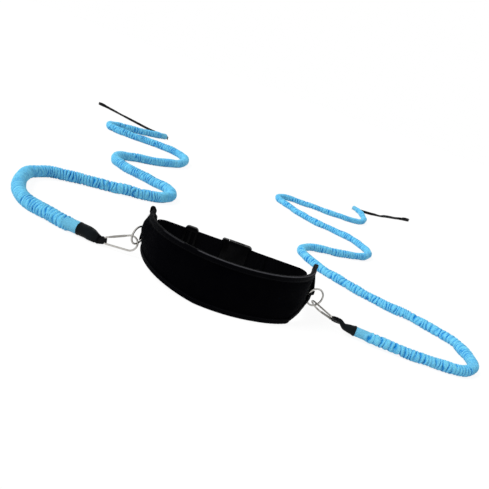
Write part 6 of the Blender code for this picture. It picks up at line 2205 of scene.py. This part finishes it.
RIGHT_STRAP_ROUTE = (
    (0.460, 1.549), (0.474, 1.556), (0.499, 1.557), (0.533, 1.568), (0.572, 1.594), (0.609, 1.626),
    (0.650, 1.668), (0.699, 1.719), (0.742, 1.765),
)  # fmt: skip


CUFFS = {
    Hand.LEFT: {"growth": (0.25, 0.75, 0.95, 1.0)},
    Hand.RIGHT: {
        "growth": (0.0, 0.06, 0.20, 0.46), "mouth_growth": (0.84, 0.91, 0.965), "radius": 0.0098,
        "shoulder_half": 0.0064, "shoulder_thin": 0.0044, "tongue_half": 0.0054, "loop_width": 0.0118,
    },
}  # fmt: skip
SLEEVES = {
    Hand.LEFT: {},
    Hand.RIGHT: {"crest": 0.0112, "valley": 0.0078, "smooth_radius": 0.0093},
}


def lay_cords(joints: dict[str, dict], outline: BeltOutline) -> list[CordRoute]:
    """Sets out both sides: ring, hook, cuff and cord.

    Args:
        joints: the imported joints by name.
        outline: the belt's outline.

    Returns:
        The two cords' routes, left then right.
    """
    left = HookPlace(
        Hand.LEFT, joints, outline, math.radians(180.0 + 65.14), (0.9715, 0.0771, 0.2240),
        (-0.2368, 0.2891, 0.9275), (-0.290, 0.036), math.radians(167.4),
    )  # fmt: skip
    right = HookPlace(
        Hand.RIGHT, joints, outline, math.radians(27.01), (-0.6216, 0.7833, -0.0011),
        (0.5996, 0.4749, -0.6442), (0.273, 0.010), math.radians(-9.8),
    )  # fmt: skip
    return [
        CordRoute(left, LEFT_ROUTE, (-0.457, 1.623), LEFT_STRAP_ROUTE,
                  (90.0, 88.0, 84.0, 78.0, 70.0, 80.0, 74.0, 58.0, 76.0, 88.0)),
        CordRoute(right, RIGHT_ROUTE, (0.460, 1.530), RIGHT_STRAP_ROUTE,
                  (90.0, 88.0, 86.0, 80.0, 56.0, 28.0, 76.0, 46.0, 88.0)),
    ]  # fmt: skip


def main() -> None:
    """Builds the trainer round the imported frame."""
    logging.basicConfig(level=logging.INFO, format="%(message)s")
    for leftover in list(bpy.data.objects):
        bpy.data.objects.remove(leftover, do_unlink=True)
    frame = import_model()
    bpy.context.scene.view_settings.view_transform = "Standard"
    studio = Studio()
    studio.camera()
    joints = {joint["name"]: joint for joint in frame["joints"]}
    outline = BeltOutline()
    wardrobe = Wardrobe()
    nodes = frame["nodes"]
    for cord in lay_cords(joints, outline):
        hand = cord.place.hand.value
        SewnRing(cord.place).build(wardrobe)
        near = SnapHook(cord.place).build(wardrobe) + CordCuff(cord.place, **CUFFS[cord.place.hand]).build(wardrobe)
        for name in ("near_ferrule", "far_ferrule"):
            ferrule = nodes[f"{hand}_{name}"]
            dress_node(ferrule, wardrobe.aluminium)
            near.append(ferrule)
        RuchedCord(cord, **SLEEVES[cord.place.hand]).build(wardrobe, near)
        FarStrap(cord).build(wardrobe)
    PaddedPanel(outline).build(wardrobe)
    straps = RearStraps(outline)
    straps.build(wardrobe)
    SideRelease(straps.spot(0.0, straps.rear_y)).build(wardrobe)
    for name in ("buckle_prong_upper", "buckle_prong_lower"):
        dress_node(nodes[name], wardrobe.plastic)
    studio.light()
    studio.floor()
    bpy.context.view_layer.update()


if __name__ == "__main__":
    main()
